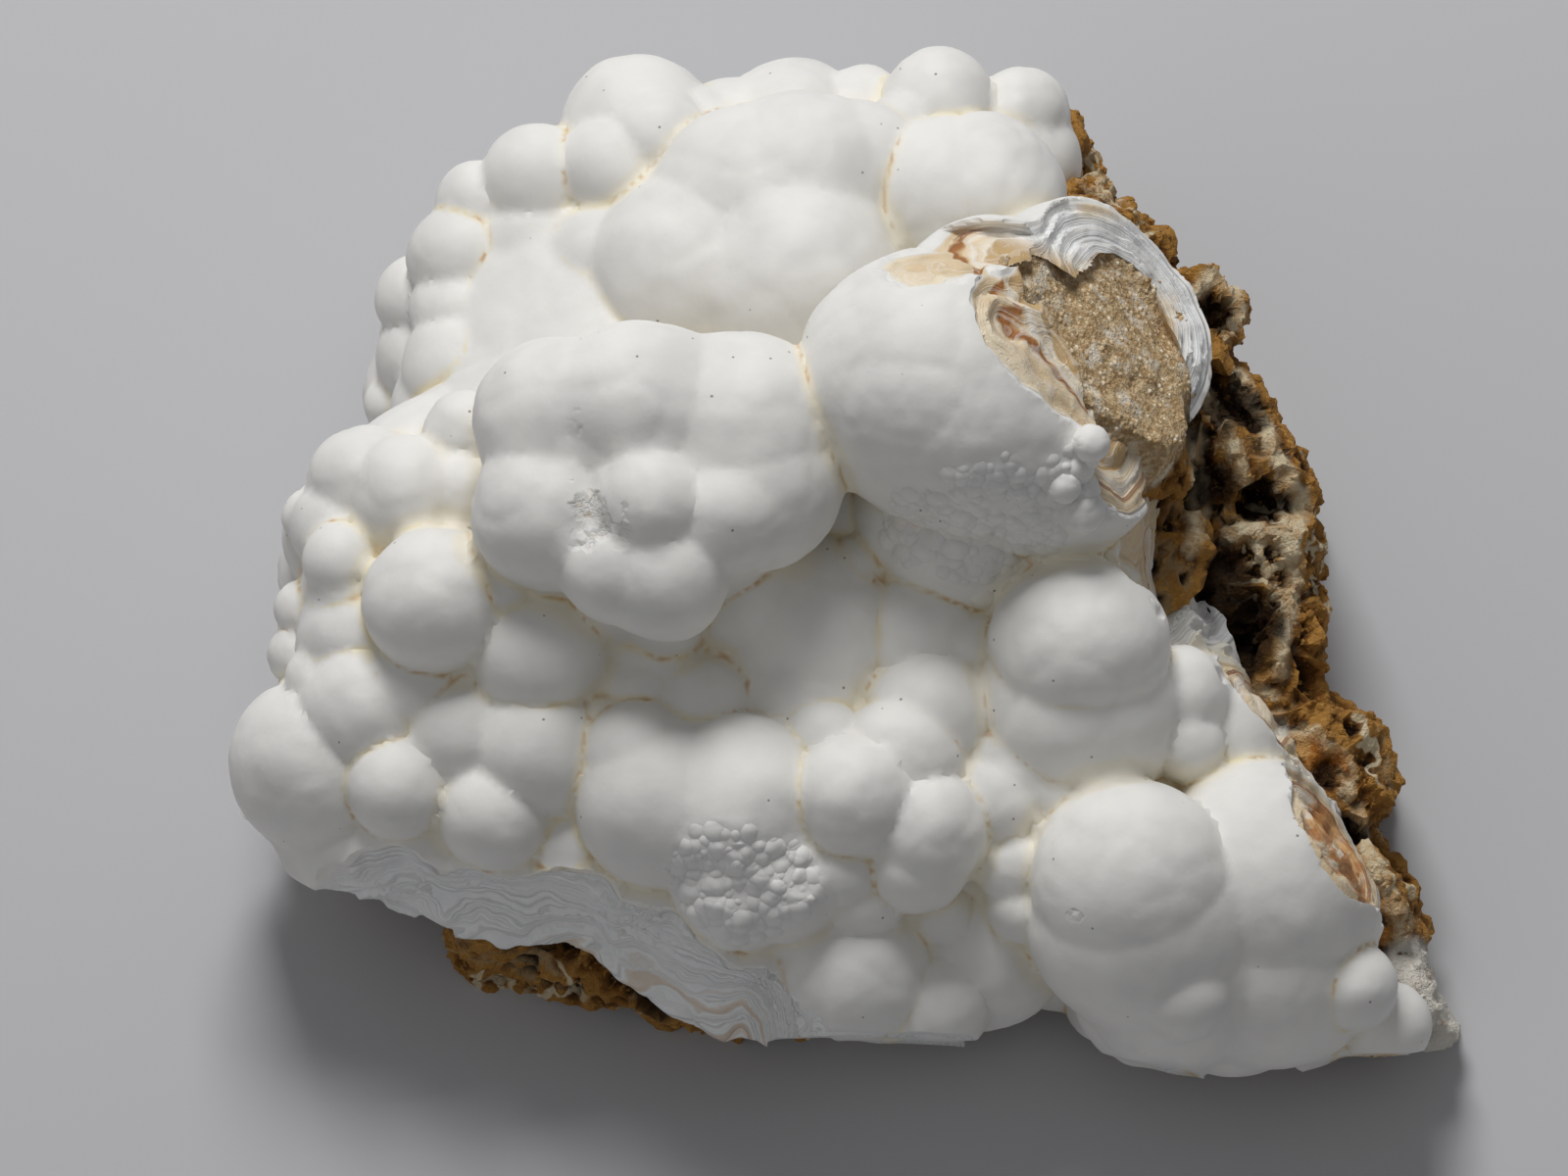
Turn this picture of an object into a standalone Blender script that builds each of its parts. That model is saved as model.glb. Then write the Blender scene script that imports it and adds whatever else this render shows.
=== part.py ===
# A hydrozincite specimen: a white lumpy crust grown on a porous brown limonite matrix.
# The matrix is cut flat underneath and the specimen lies on that cut, lumps upwards.
# Metres, +Z up, origin under the middle of the specimen on its resting face.
# The left and back flanks are grown crust. The right and the lower left edges are broken.

import math

import bmesh
import bpy
from mathutils import Matrix, Vector, noise

MM = 0.001

# Lobes are placed in a plane that leans back from the resting face, in millimetres:
# across to the right, up the slope, out of the plane. The plane's origin is set by these.
LEAN = math.radians(25)
PLANE_HEIGHT = 31.7
MIDDLE = Vector((6.0, 7.0))

GAP = 0.5            # between crust and matrix, so that the two solids stay apart
CRUST = 6.0          # usual thickness of the crust
BED_CRUST = 3.0      # how far the matrix stays under the filling between lobes
STALK = 0.88         # what stands under a filling lump, as a share of its radius
LOBE_STALK = 0.60    # the same under a lobe, narrower so that the flank lobes stand out
VOXEL = 1.2
CRUST_TRIANGLES = 4200
MATRIX_TRIANGLES = 1900
ROUGH_DETAIL = 0.045  # share of a rough cutter's faces that is kept

# Each lobe: across, up, how far its nearest point stands out, radius.
LOBES = {
    "crown left": [(-15.2, 47.2, -14, 8.2), (-9.5, 46.0, -15, 6.2), (-13.4, 46.5, -11.5, 5.6),
                   (-17.8, 43.4, -11.0, 5.6)],
    "shoulder left": [(-25.6, 42.0, -13, 6.0), (-31.5, 39.6, -16, 4.8), (-25.5, 35.5, -13, 6.5),
                      (-24.5, 30.0, -14, 6.5)],
    "left stack": [(-33.6, 34.4, -14, 5.4), (-33.3, 28.6, -13.5, 5.4), (-32.8, 22.6, -11, 6.8),
                   (-33.5, 18.0, -13, 7.5), (-27.4, 30.5, -14.5, 4.4), (-26.1, 25.8, -13, 5.6),
                   (-26.0, 21.0, -13, 6.5), (-37.3, 29.8, -20, 5.0), (-37.5, 24.0, -20, 5.0)],
    "left far": [(-41.0, 19.2, -24, 2.6)],
    "upper dome": [(-2.5, 34.5, -3.5, 15.2), (1.5, 31.3, 2, 11.2), (2.0, 41.5, -3.0, 9.4),
                   (-4.2, 40.5, -3.6, 9.0), (8.0, 43.0, -6.5, 7.0), (-10.0, 32.6, -1.5, 9.8),
                   (-19.0, 33.5, -9, 6.0)],
    "top middle": [(1.0, 46.7, -16, 8.5), (8.0, 49.2, -18, 5.2), (-5.0, 46.5, -17, 6.5)],
    "top right": [(15.9, 50.0, -13, 6.0), (24.6, 49.0, -16, 5.2), (12.5, 47.5, -12, 4.0),
                  (24.0, 44.0, -15, 7.0)],
    "right shoulder": [(16.3, 40.2, -4, 8.2), (21.0, 40.6, -4, 8.2)],
    "centre nodule": [(-13.5, 11.0, 22, 14.8), (-23.0, 17.0, 22, 8.6), (-14.5, 18.0, 25.0, 9.2),
                      (-4.8, 15.5, 24.5, 10.4), (-2.5, 10.0, 24, 8.2), (-24.0, 7.5, 23.5, 7.8),
                      (-13.7, 8.8, 27.2, 5.2), (-12.0, 1.0, 25.6, 6.4), (-17.2, 2.0, 24.5, 5.4),
                      (-5.5, 7.5, 25.6, 6.0)],
    "broken nodule": [(14.7, 20.8, 27, 13.4), (19.2, 18.6, 26, 13.2), (31.0, 26.2, 14, 13.8),
                      (21.0, 27.0, 17, 10.6), (27.0, 14.8, 22.0, 12.0)],
    "under nodule": [(19.0, 9.2, 15, 12.5), (29.0, 6.0, 11, 9.0)],
    "right ball": [(30.0, -6.0, 20, 9.2)],
    "under ball": [(29.8, -12.0, 17.6, 10.8), (40.0, -11.1, 11, 5.4), (40.7, -15.6, 11, 4.0),
                   (45.5, -14.5, 7, 8.0)],
    "big right": [(35.0, -29.5, 24, 10.2), (36.2, -33.5, 22, 11.8), (49.0, -30.0, 18, 12.6),
                  (49.0, -38.0, 15, 11.0), (40.0, -38.0, 17, 11.0), (40.4, -41.3, 19.2, 4.6),
                  (58.0, -40.9, 10, 4.2), (61.5, -45.0, 6, 4.2), (53.9, -44.7, 10, 2.5)],
    "right middle": [(24.8, -18.4, 14, 9.0), (21.6, -21.6, 15, 5.2), (28.6, -19.7, 14, 7.0)],
    "right slip": [(23.5, -28.0, 14, 4.4), (24.5, -32.0, 13, 4.0)],
    "middle flat": [(3.0, -4.5, 12, 11.0), (1.5, -12.5, 12, 7.5), (-4.2, 0.0, 12, 7.5)],
    "middle left": [(-13.5, -7.1, 11, 6.8), (-15.1, -11.5, 12, 5.2), (-8.7, -13.1, 13, 6.6)],
    "middle right": [(14.8, -13.0, 15, 6.6), (13.6, -4.8, 11, 7.5), (7.0, 1.0, 9, 4.4),
                     (18.4, -6.4, 10, 4.8)],
    "lower dome": [(-12.5, -21.5, 19, 8.8), (-4.5, -22.5, 20, 10.0), (-15.1, -16.5, 17, 5.2),
                   (0.2, -29.3, 18, 6.6), (6.0, -28.0, 17, 4.6), (-4.5, -30.0, 17.5, 6.8)],
    "lower balls": [(7.0, -21.2, 21, 6.4), (14.3, -24.5, 19.5, 6.4), (13.3, -27.0, 18, 6.0),
                    (12.0, -17.2, 17.5, 6.4), (4.0, -15.6, 15, 4.2)],
    "bottom lobes": [(6.8, -38.5, 14, 8.4), (7.6, -31.5, 15, 4.8), (3.1, -35.3, 12, 6.0),
                     (-0.4, -39.8, 10, 4.4), (3.1, -43.0, 9, 3.6)],
    "bottom right": [(20.0, -36.0, 9, 9.4), (14.9, -42.0, 10, 6.4), (15.8, -33.1, 10.5, 3.6)],
    "low skirt": [(-45.0, -24.0, 5.0, 8.0), (-38.0, -27.0, 7.5, 8.5), (-29.0, -29.0, 8.5, 8.5),
                  (-20.0, -31.0, 10.5, 9.0), (-11.0, -36.0, 13.0, 9.0), (-3.0, -40.0, 11.0, 8.0)],
    "low left": [(-47.8, -18.0, 9, 8.8), (-42.1, -12.4, 11, 7.4), (-47.5, -9.2, 6, 3.2)],
    "low middle": [(-38.9, -20.0, 12.5, 5.4), (-29.3, -22.6, 13.5, 6.2), (-24.8, -16.2, 15, 7.6),
                   (-32.5, -14.6, 12.5, 6.6)],
    "low chips": [(-17.5, -14.6, 13, 4.4), (-21.3, -25.8, 10.5, 5.4)],
    "middle left balls": [(-35.0, -1.2, 17, 7.6), (-24.8, -6.5, 16, 7.2)],
    "behind left balls": [(-29.3, 0.9, 15, 5.4), (-43.0, -4.9, 8, 6.6), (-37.3, -9.7, 11, 6.8),
                          (-49.2, -6.8, 1, 3.4)],
    "left knobs": [(-42.7, 10.5, 5, 6.2), (-38.2, 9.5, 9, 6.2), (-32.5, 15.9, 6, 4.4),
                   (-32.8, 9.5, 8, 4.6), (-48.6, 7.2, 0, 3.0), (-45.5, 6.0, 4.5, 5.2)],
    "left pebbles": [(-45.2, 2.8, 8, 4.0), (-49.0, -2.0, 1, 3.2), (-44.3, -0.1, 7, 4.2)],
}

# Wide lumps that fill the body under the lobes, in the same terms.
BED = [(2, -8, 8, 16), (-30, -8, 8, 14), (-12, -12, 9, 14), (14, -22, 12, 14), (30, -20, 9, 14),
       (0, -30, 9, 12), (12, -34, 7, 12), (-36, 8, 1, 11), (-28, 30, -16, 10.5), (-20, 37, -16, 11),
       (5, 38, -12, 14), (18, 40, -11, 11), (20, 12, 10, 16), (45, -22, 5, 12), (36, 2, 4, 11),
       (-40, -12, 4, 9), (-25, -18, 8, 9), (-20, 8, 4, 18), (5, 12, 6, 15), (0, 25, -6, 18), (10, -18, -2, 20), (-22, -8, -2, 20),
       (-18, 22, -6, 20), (14, 24, -6, 20), (30, -28, 2, 16), (38, 0, -8, 17), (-5, 6, -2, 20),
       (34, -11, -1.5, 13), (-7, -26.5, -2.5, 9), (32, 23, -20, 9), (43, -36.5, -1, 8),
       (-35, -2, 6.8, 5)]

# Lumps of bare limonite beyond the broken edges, in the same terms.
BARE = [(42, 24, -12, 9), (46, 12, -10, 10), (47, 2, -9, 9), (49, -8, -6, 9), (55, -20, -4, 9),
        (59, -32, -1, 8), (63, -43, -1, 7), (33, 36, -14, 7), (27, 43, -22, 8),
        (-28, -30, 0, 9), (-18, -33, 1, 9), (-10, -37, 0, 9), (-2, -38, 0, 8), (-38, -24, -2, 8)]

# The sandy core of the nodule that broke open, in the same terms.
CORE = [(28.6, 22.4, 17.0, 10.0), (34.5, 23.0, 11.0, 8.0), (33.5, 18.5, 14.0, 8.5),
        (23.5, 27.0, 17.5, 8.4)]

# Where the crust is thinner or thicker than usual.
CRUST_OF = {"broken nodule": 4.6, "under nodule": 4.0, "low middle": 8.5, "low left": 8.0,
            "low chips": 8.0, "low skirt": 8.0, "lower dome": 8.0, "bottom lobes": 7.0, "big right": 7.0}

# The groups at the edge of the grown flanks, at the left and the back. More lobes stand under
# each of theirs, down the flank, in steps of this share of a lobe's radius.
FLANK_GROUPS = ("low left", "left pebbles", "left knobs", "left far", "left stack",
                "shoulder left", "crown left", "top middle", "top right")
FLANK_STEP = 1.35
FLANK_RADIUS = 6.4
CRUST_FOOT = 6.9     # the crust ends about this far above the resting face

# Broken edges of the crust, as outlines: across, up, and the depth at which that point holds.
# With each, how far the edge moves outwards for every millimetre of depth.
RIGHT_BREAK = [(32.0, 60.0, 0), (32.8, 50.0, 0), (33.2, 41.0, 0), (40.0, 37.5, 0),
               (41.5, 33.0, 0), (41.0, 20.0, 0), (40.0, 4.0, 0), (41.5, -2.0, 0),
               (45.0, -9.5, 0), (53.5, -22.5, 0), (61.0, -35.5, 0), (66.5, -38.0, 0),
               (70.0, -50.0, 0), (110.0, -50.0, 0), (110.0, 60.0, 0)]
RIGHT_SLOPE = (0.30, 0.12)
LOW_BREAK = [(-75.0, -29.5, 2), (-56.0, -29.5, 2), (-50.0, -28.8, 3), (-44.5, -26.8, 5),
             (-38.5, -26.4, 7), (-31.0, -28.2, 8), (-27.7, -29.4, 8), (-23.0, -28.6, 9),
             (-18.0, -29.5, 10), (-14.3, -31.8, 11), (-8.3, -34.0, 14), (-4.0, -36.2, 14),
             (-1.0, -39.4, 10), (2.0, -42.0, 9), (5.0, -45.0, 8), (5.0, -75.0, 8),
             (-75.0, -75.0, 2)]
LOW_SLOPE = (-0.15, -0.80)
UNDER_BREAK = [(-75.0, -25.5, 0), (-50.0, -26.5, 0), (-44.0, -29.0, 0), (-35.7, -31.5, 0),
               (-29.3, -34.0, 0), (-23.6, -36.0, 0), (-21.3, -35.2, 0), (-18.0, -36.9, 0),
               (-13.4, -39.8, 0), (-8.7, -43.1, 0), (-4.0, -44.6, 0), (5.0, -45.2, 0),
               (5.0, -85.0, 0), (-75.0, -85.0, 0)]
UNDER_SLOPE = (0.10, 0.30)
UNDER_DEPTH = 0.0    # the crust is gone below this depth outside that outline
FOOT_BREAK = [(-2.0, -45.2, 8), (14.0, -45.4, 8), (36.0, -46.2, 8), (46.0, -49.6, 8),
              (54.0, -49.6, 8), (61.0, -46.6, 5), (75.0, -47.0, 5), (75.0, -80.0, 5),
              (-2.0, -80.0, 8)]
FOOT_SLOPE = (0.0, -0.25)

# Edges of the bare limonite, in the same terms.
RIGHT_LIMONITE = [(28.0, 60.0, -25), (32.0, 46.0, -25), (33.0, 41.0, -25), (36.5, 37.5, -20),
                  (41.0, 34.5, -20), (43.0, 32.5, -20), (48.0, 30.0, -20), (45.5, 25.0, -20),
                  (51.0, 17.0, -20), (54.5, 10.0, -20), (55.0, 5.5, -20), (53.0, 0.0, -20),
                  (55.0, -3.0, -20), (53.5, -10.0, -20), (56.5, -13.5, -15),
                  (61.0, -14.5, -15), (62.5, -18.5, -15), (60.0, -25.0, -15),
                  (61.5, -29.0, -10), (65.0, -36.5, -5), (68.0, -46.0, -5),
                  (110.0, -46.0, -5), (110.0, 60.0, -20)]
RIGHT_LIMONITE_SLOPE = (0.05, 0.0)
LOW_LIMONITE = [(-75.0, -26.0, -5), (-46.0, -27.5, -5), (-35.0, -31.5, -5), (-33.0, -38.0, -5),
                (-29.0, -40.4, -5), (-17.5, -41.6, -5), (-13.4, -44.2, -5), (-9.0, -45.2, -5),
                (10.0, -45.6, -5), (30.0, -46.0, -5), (50.0, -48.0, -5), (72.0, -46.5, -5),
                (72.0, -80.0, -5), (-75.0, -80.0, -5)]
LOW_LIMONITE_SLOPE = (0.0, -0.12)

# The two faces on which the right-hand nodule broke open: a point in each and where it faces.
NODULE_BREAKS = [(Vector((18.5, 30.0, 22.7)), Vector((0.68, 0.50, 0.54))),
                 (Vector((15.5, 30.5, 22.5)), Vector((0.25, 0.80, 0.545)))]
CORE_STEP = 1.0      # how far the sandy core lies under those faces

# Hollows in the limonite: across, up, out of the middle, radius.
HOLLOWS = [(45.5, -3.5, -6.0, 5.2), (47.0, 4.0, -13.0, 3.6), (43.0, 14.0, -4.0, 3.2),
           (47.5, 19.0, -14.0, 3.2), (49.0, 9.0, -13.0, 2.6), (54.5, -19.5, -8.0, 3.0),
           (57.5, -26.0, -7.0, 2.6), (-24.0, -38.0, -2.0, 2.6), (-13.0, -42.0, -2.5, 2.4)]


def clear_scene():
    for obj in list(bpy.data.objects):
        bpy.data.objects.remove(obj, do_unlink=True)


def in_part(across, up, out):
    """A place on the leaning plane, in the part's own axes and metres."""
    x = across - MIDDLE.x
    y = up * math.cos(LEAN) - out * math.sin(LEAN) - MIDDLE.y
    z = up * math.sin(LEAN) + out * math.cos(LEAN) + PLANE_HEIGHT
    return Vector((x, y, z)) * MM


def part_axis(across, up, out):
    """A direction on the leaning plane, in the part's own axes."""
    return (in_part(across, up, out) - in_part(0, 0, 0)).normalized()


def collection(name):
    made = bpy.data.collections.new(name)
    bpy.context.scene.collection.children.link(made)
    return made


def object_of(bm, name, place):
    mesh = bpy.data.meshes.new(name)
    bm.to_mesh(mesh)
    bm.free()
    obj = bpy.data.objects.new(name, mesh)
    place.objects.link(obj)
    return obj


def as_cutter(obj):
    obj.hide_render = True
    obj.display_type = "WIRE"
    return obj


def bake(obj):
    """Replaces the object's mesh with what its modifiers make of it."""
    graph = bpy.context.evaluated_depsgraph_get()
    mesh = bpy.data.meshes.new_from_object(obj.evaluated_get(graph))
    obj.modifiers.clear()
    obj.data = mesh
    return obj


def remesh(obj, voxel):
    step = obj.modifiers.new("Remesh", "REMESH")
    step.mode = "VOXEL"
    step.voxel_size = voxel * MM
    return bake(obj)


def roughen(obj, sizes):
    """Moves each point along its normal by smooth noise: (grain, height) in millimetres."""
    mesh = obj.data
    moved = []
    for vertex in mesh.vertices:
        shift = 0.0
        for grain, height in sizes:
            shift += height * noise.noise(vertex.co / (grain * MM))
        moved.append(vertex.co + vertex.normal * shift * MM)
    for vertex, place in zip(mesh.vertices, moved):
        vertex.co = place
    mesh.update()
    return obj


def soften(obj, times):
    step = obj.modifiers.new("Soften", "SMOOTH")
    step.factor = 0.5
    step.iterations = times
    return bake(obj)


def reduce(obj, triangles):
    step = obj.modifiers.new("Reduce", "DECIMATE")
    faces = sum(len(face.vertices) - 2 for face in obj.data.polygons)
    step.ratio = min(1.0, triangles / faces)
    return bake(obj)


def grow(obj, by):
    step = obj.modifiers.new("Grow", "DISPLACE")
    step.strength = by * MM
    step.mid_level = 0.0
    return bake(obj)


def join(obj, other):
    """Adds the other solid to the object, and clears up where either crosses itself."""
    step = obj.modifiers.new("Join", "BOOLEAN")
    step.operation = "UNION"
    step.solver = "EXACT"
    step.use_self = True
    step.object = other
    return bake(obj)


def cut(obj, cutter):
    step = obj.modifiers.new("Cut", "BOOLEAN")
    step.operation = "DIFFERENCE"
    step.solver = "EXACT"
    step.object = cutter
    return bake(obj)


def keep_largest(obj):
    """Deletes every loose piece but the one with the most faces."""
    bm = bmesh.new()
    bm.from_mesh(obj.data)
    left = set(bm.faces)
    pieces = []
    while left:
        ahead = [left.pop()]
        piece = list(ahead)
        while ahead:
            face = ahead.pop()
            for edge in face.edges:
                for other in edge.link_faces:
                    if other in left and len(edge.link_faces) == 2:
                        left.remove(other)
                        ahead.append(other)
                        piece.append(other)
        pieces.append(piece)
    pieces.sort(key=len, reverse=True)
    small = [face for piece in pieces[1:] for face in piece]
    bmesh.ops.delete(bm, geom=small, context="FACES")
    bmesh.ops.triangulate(bm, faces=bm.faces)
    bm.to_mesh(obj.data)
    bm.free()
    return obj


def add_lump(bm, centre, radius, stalk):
    """A ball with a stalk under it that reaches below the resting face."""
    bmesh.ops.create_icosphere(bm, subdivisions=3, radius=radius * MM,
                               matrix=Matrix.Translation(centre))
    depth = centre.z + 6 * MM
    if depth > 0:
        under = centre - Vector((0, 0, depth / 2))
        width = radius * stalk * MM
        bmesh.ops.create_cone(bm, cap_ends=True, segments=20, radius1=width, radius2=width,
                              depth=depth, matrix=Matrix.Translation(under))


def lump_centre(across, up, front, radius):
    return in_part(across, up, front - radius)


def flank_lumps():
    """Lobes under those at the left and back edges, each a little different in size."""
    lumps = []
    for group in FLANK_GROUPS:
        for across, up, front, radius in LOBES[group]:
            top = lump_centre(across, up, front, radius)
            outwards = Vector((top.x, top.y, 0)).normalized()
            height = top.z - FLANK_STEP * radius * MM
            while height > 0:
                wobble = noise.noise(Vector((across, up, height / MM)) * 0.21)
                size = FLANK_RADIUS + 3.0 * wobble
                centre = top + outwards * (radius - size + 2.0 * wobble) * MM
                centre.z = height
                lumps.append((centre, size))
                height -= FLANK_STEP * size * MM
    return lumps


def body(name, place, lumps):
    bm = bmesh.new()
    for centre, radius, stalk in lumps:
        add_lump(bm, centre, radius, stalk)
    return remesh(object_of(bm, name, place), VOXEL)


def prism(name, place, outline, slope, sizes, top=70.0):
    """A rough-sided block over an outline, whose sides slope with depth, down from top."""
    bm = bmesh.new()
    ends = []
    for out in (top, -90.0):
        ring = []
        for across, up, depth in outline:
            shift = Vector(slope) * (depth - out)
            ring.append(bm.verts.new(in_part(across + shift.x, up + shift.y, out)))
        ends.append(ring)
    bm.faces.new(ends[0])
    bm.faces.new(reversed(ends[1]))
    for step in range(len(outline)):
        after = (step + 1) % len(outline)
        bm.faces.new((ends[0][after], ends[0][step], ends[1][step], ends[1][after]))
    bmesh.ops.recalc_face_normals(bm, faces=bm.faces)
    obj = remesh(object_of(bm, name, place), 2.0)
    roughen(obj, sizes)
    faces = len(obj.data.polygons) * 2
    return as_cutter(reduce(obj, faces * ROUGH_DETAIL))


def slab(name, place, point, facing, sizes):
    """A rough block that fills everything on one side of a plane."""
    bm = bmesh.new()
    turn = facing.to_track_quat("Z", "Y").to_matrix().to_4x4()
    middle = point + facing * 40 * MM
    bmesh.ops.create_cube(bm, size=1.0, matrix=Matrix.Translation(middle) @ turn
                          @ Matrix.Diagonal((0.22, 0.22, 0.08, 1.0)))
    obj = object_of(bm, name, place)
    if sizes:
        remesh(obj, 2.0)
        roughen(obj, sizes)
        reduce(obj, len(obj.data.polygons) * 2 * ROUGH_DETAIL)
    return as_cutter(obj)


def ball_cutter(name, place, centre, radius):
    bm = bmesh.new()
    bmesh.ops.create_icosphere(bm, subdivisions=2, radius=radius * MM,
                               matrix=Matrix.Translation(centre))
    return as_cutter(roughen(object_of(bm, name, place), [(3.0, 1.6)]))


def material(name, colour, roughness):
    made = bpy.data.materials.new(name)
    made.use_nodes = True
    shader = made.node_tree.nodes["Principled BSDF"]
    shader.inputs["Base Color"].default_value = (*colour, 1.0)
    shader.inputs["Roughness"].default_value = roughness
    shader.inputs["Metallic"].default_value = 0.0
    return made


def matrix_lumps():
    """Centre, radius and stalk of each lump of the matrix: the lobes less the crust on them."""
    lumps = []
    for group, lobes in LOBES.items():
        thick = CRUST_OF.get(group, CRUST)
        for across, up, front, radius in lobes:
            if radius - thick > 1.5:
                centre = lump_centre(across, up, front, radius)
                lumps.append((centre, radius - thick, LOBE_STALK))
    for across, up, front, radius in BED:
        centre = lump_centre(across, up, front, radius)
        lumps.append((centre, radius - BED_CRUST, STALK))
    for across, up, front, radius in BARE + CORE:
        lumps.append((lump_centre(across, up, front, radius), radius, STALK))
    return lumps


def crust_lumps():
    """The same for the outside of the crust."""
    lumps = []
    for lobes in LOBES.values():
        for across, up, front, radius in lobes:
            lumps.append((lump_centre(across, up, front, radius), radius, LOBE_STALK))
    for across, up, front, radius in BED:
        lumps.append((lump_centre(across, up, front, radius), radius, STALK))
    for centre, radius in flank_lumps():
        lumps.append((centre, radius, LOBE_STALK))
    return lumps


def hollow_for_crust(matrix, place):
    """The uncut matrix grown by the gap. The crust loses what lies inside it.
    Joined with the matrix itself, because a grown tight fold can fall short of it."""
    obj = matrix.copy()
    obj.name = "crust hollow"
    obj.data = matrix.data.copy()
    place.objects.link(obj)
    return as_cutter(keep_largest(join(grow(obj, GAP), matrix)))


def make_matrix(parts, cutters):
    """The limonite: what the crust grew on, with bare hollowed edges and the sandy core."""
    obj = body("limonite_matrix", parts, matrix_lumps())
    soften(roughen(obj, [(7.0, 1.3)]), 4)
    keep_largest(soften(reduce(obj, MATRIX_TRIANGLES), 2))
    hollow = hollow_for_crust(obj, cutters)

    for number, (point, facing) in enumerate(NODULE_BREAKS):
        face = in_part(*(point - facing * CORE_STEP))
        cut(obj, slab(f"core break {number}", cutters, face, part_axis(*facing), [(3.0, 0.7)]))
    cut(obj, prism("right limonite edge", cutters, RIGHT_LIMONITE, RIGHT_LIMONITE_SLOPE,
                   [(9.0, 1.5), (3.5, 0.8)]))
    cut(obj, prism("low limonite edge", cutters, LOW_LIMONITE, LOW_LIMONITE_SLOPE,
                   [(9.0, 1.5), (3.5, 0.8)]))
    for number, (across, up, out, radius) in enumerate(HOLLOWS):
        cut(obj, ball_cutter(f"hollow {number}", cutters, in_part(across, up, out), radius))
    cut(obj, slab("resting cut", cutters, Vector((0, 0, 0)), Vector((0, 0, -1)), None))
    keep_largest(obj)
    obj.data.materials.append(material("limonite", (0.33, 0.16, 0.05), 0.9))
    return hollow


def make_crust(parts, cutters, hollow):
    """The hydrozincite: rounded lobes that overlap, broken off at the right and below."""
    obj = body("hydrozincite_crust", parts, crust_lumps())
    keep_largest(reduce(obj, CRUST_TRIANGLES))
    for number, (point, facing) in enumerate(NODULE_BREAKS):
        cut(obj, slab(f"nodule break {number}", cutters, in_part(*point), part_axis(*facing),
                      [(6.0, 0.6)]))
    cut(obj, prism("right break", cutters, RIGHT_BREAK, RIGHT_SLOPE, [(8.0, 1.4), (3.5, 0.6)]))
    cut(obj, prism("low break", cutters, LOW_BREAK, LOW_SLOPE, [(8.0, 1.4), (3.5, 0.6)]))
    cut(obj, prism("under break", cutters, UNDER_BREAK, UNDER_SLOPE, [(8.0, 1.4)],
                   top=UNDER_DEPTH))
    cut(obj, prism("foot break", cutters, FOOT_BREAK, FOOT_SLOPE, [(9.0, 0.8)]))
    foot = Vector((0, 0, CRUST_FOOT * MM))
    cut(obj, slab("crust foot", cutters, foot, Vector((0, 0, -1)), [(16.0, 4.0), (6.0, 1.5)]))
    cut(obj, hollow)
    keep_largest(obj)
    obj.data.materials.append(material("hydrozincite", (0.80, 0.78, 0.73), 0.6))


def main():
    clear_scene()
    parts = collection("hydrozincite_specimen")
    cutters = collection("cutters")
    hollow = make_matrix(parts, cutters)
    make_crust(parts, cutters, hollow)
    for obj in parts.objects:
        obj.data.shade_smooth()
        obj.data.set_sharp_from_angle(angle=math.radians(35))


main()
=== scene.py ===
import math
from functools import partial

import bmesh
import bpy
import numpy as np
from mathutils import Matrix, Vector


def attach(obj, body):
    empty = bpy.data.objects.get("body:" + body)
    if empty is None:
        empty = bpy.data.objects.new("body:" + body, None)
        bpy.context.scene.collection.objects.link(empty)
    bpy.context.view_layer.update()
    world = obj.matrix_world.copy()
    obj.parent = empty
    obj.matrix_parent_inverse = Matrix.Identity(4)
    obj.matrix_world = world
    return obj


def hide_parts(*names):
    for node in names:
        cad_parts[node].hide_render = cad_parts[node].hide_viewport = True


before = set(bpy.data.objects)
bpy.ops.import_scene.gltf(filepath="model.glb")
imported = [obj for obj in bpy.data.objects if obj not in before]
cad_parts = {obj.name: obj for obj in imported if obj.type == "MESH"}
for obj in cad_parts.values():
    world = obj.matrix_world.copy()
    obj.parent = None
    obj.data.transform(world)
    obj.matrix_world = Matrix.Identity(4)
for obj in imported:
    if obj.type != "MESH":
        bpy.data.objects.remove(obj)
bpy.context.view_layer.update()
print("frame loaded:", sorted(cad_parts))

mm = 0.001
plane = {
    "lean": math.radians(25),     # how far the photograph's plane leans back from the floor
    "height": 31.7,               # of its origin over the floor
    "middle": (6.0, 7.0),         # the specimen's middle under it
    "viewDistance": 1333.0,
}


def place(spots):
    # across, up, out in the photograph's plane -> x, y, z of the frame, all in millimetres
    spots = np.asarray(spots, float)
    across, up, out = spots[..., 0], spots[..., 1], spots[..., 2]
    lean = plane["lean"]
    x = across - plane["middle"][0]
    y = up * math.cos(lean) - out * math.sin(lean) - plane["middle"][1]
    z = up * math.sin(lean) + out * math.cos(lean) + plane["height"]
    return np.stack([x, y, z], -1)


def unplace(points):
    # the other way round
    points = np.asarray(points, float)
    lean = plane["lean"]
    across = points[..., 0] + plane["middle"][0]
    back = points[..., 1] + plane["middle"][1]
    high = points[..., 2] - plane["height"]
    up = back * math.cos(lean) + high * math.sin(lean)
    out = high * math.cos(lean) - back * math.sin(lean)
    return np.stack([across, up, out], -1)


def turned(direction):
    # a direction in the photograph's plane, in the frame's axes
    way = place(direction) - place((0, 0, 0))
    return way / np.linalg.norm(way)


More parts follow.
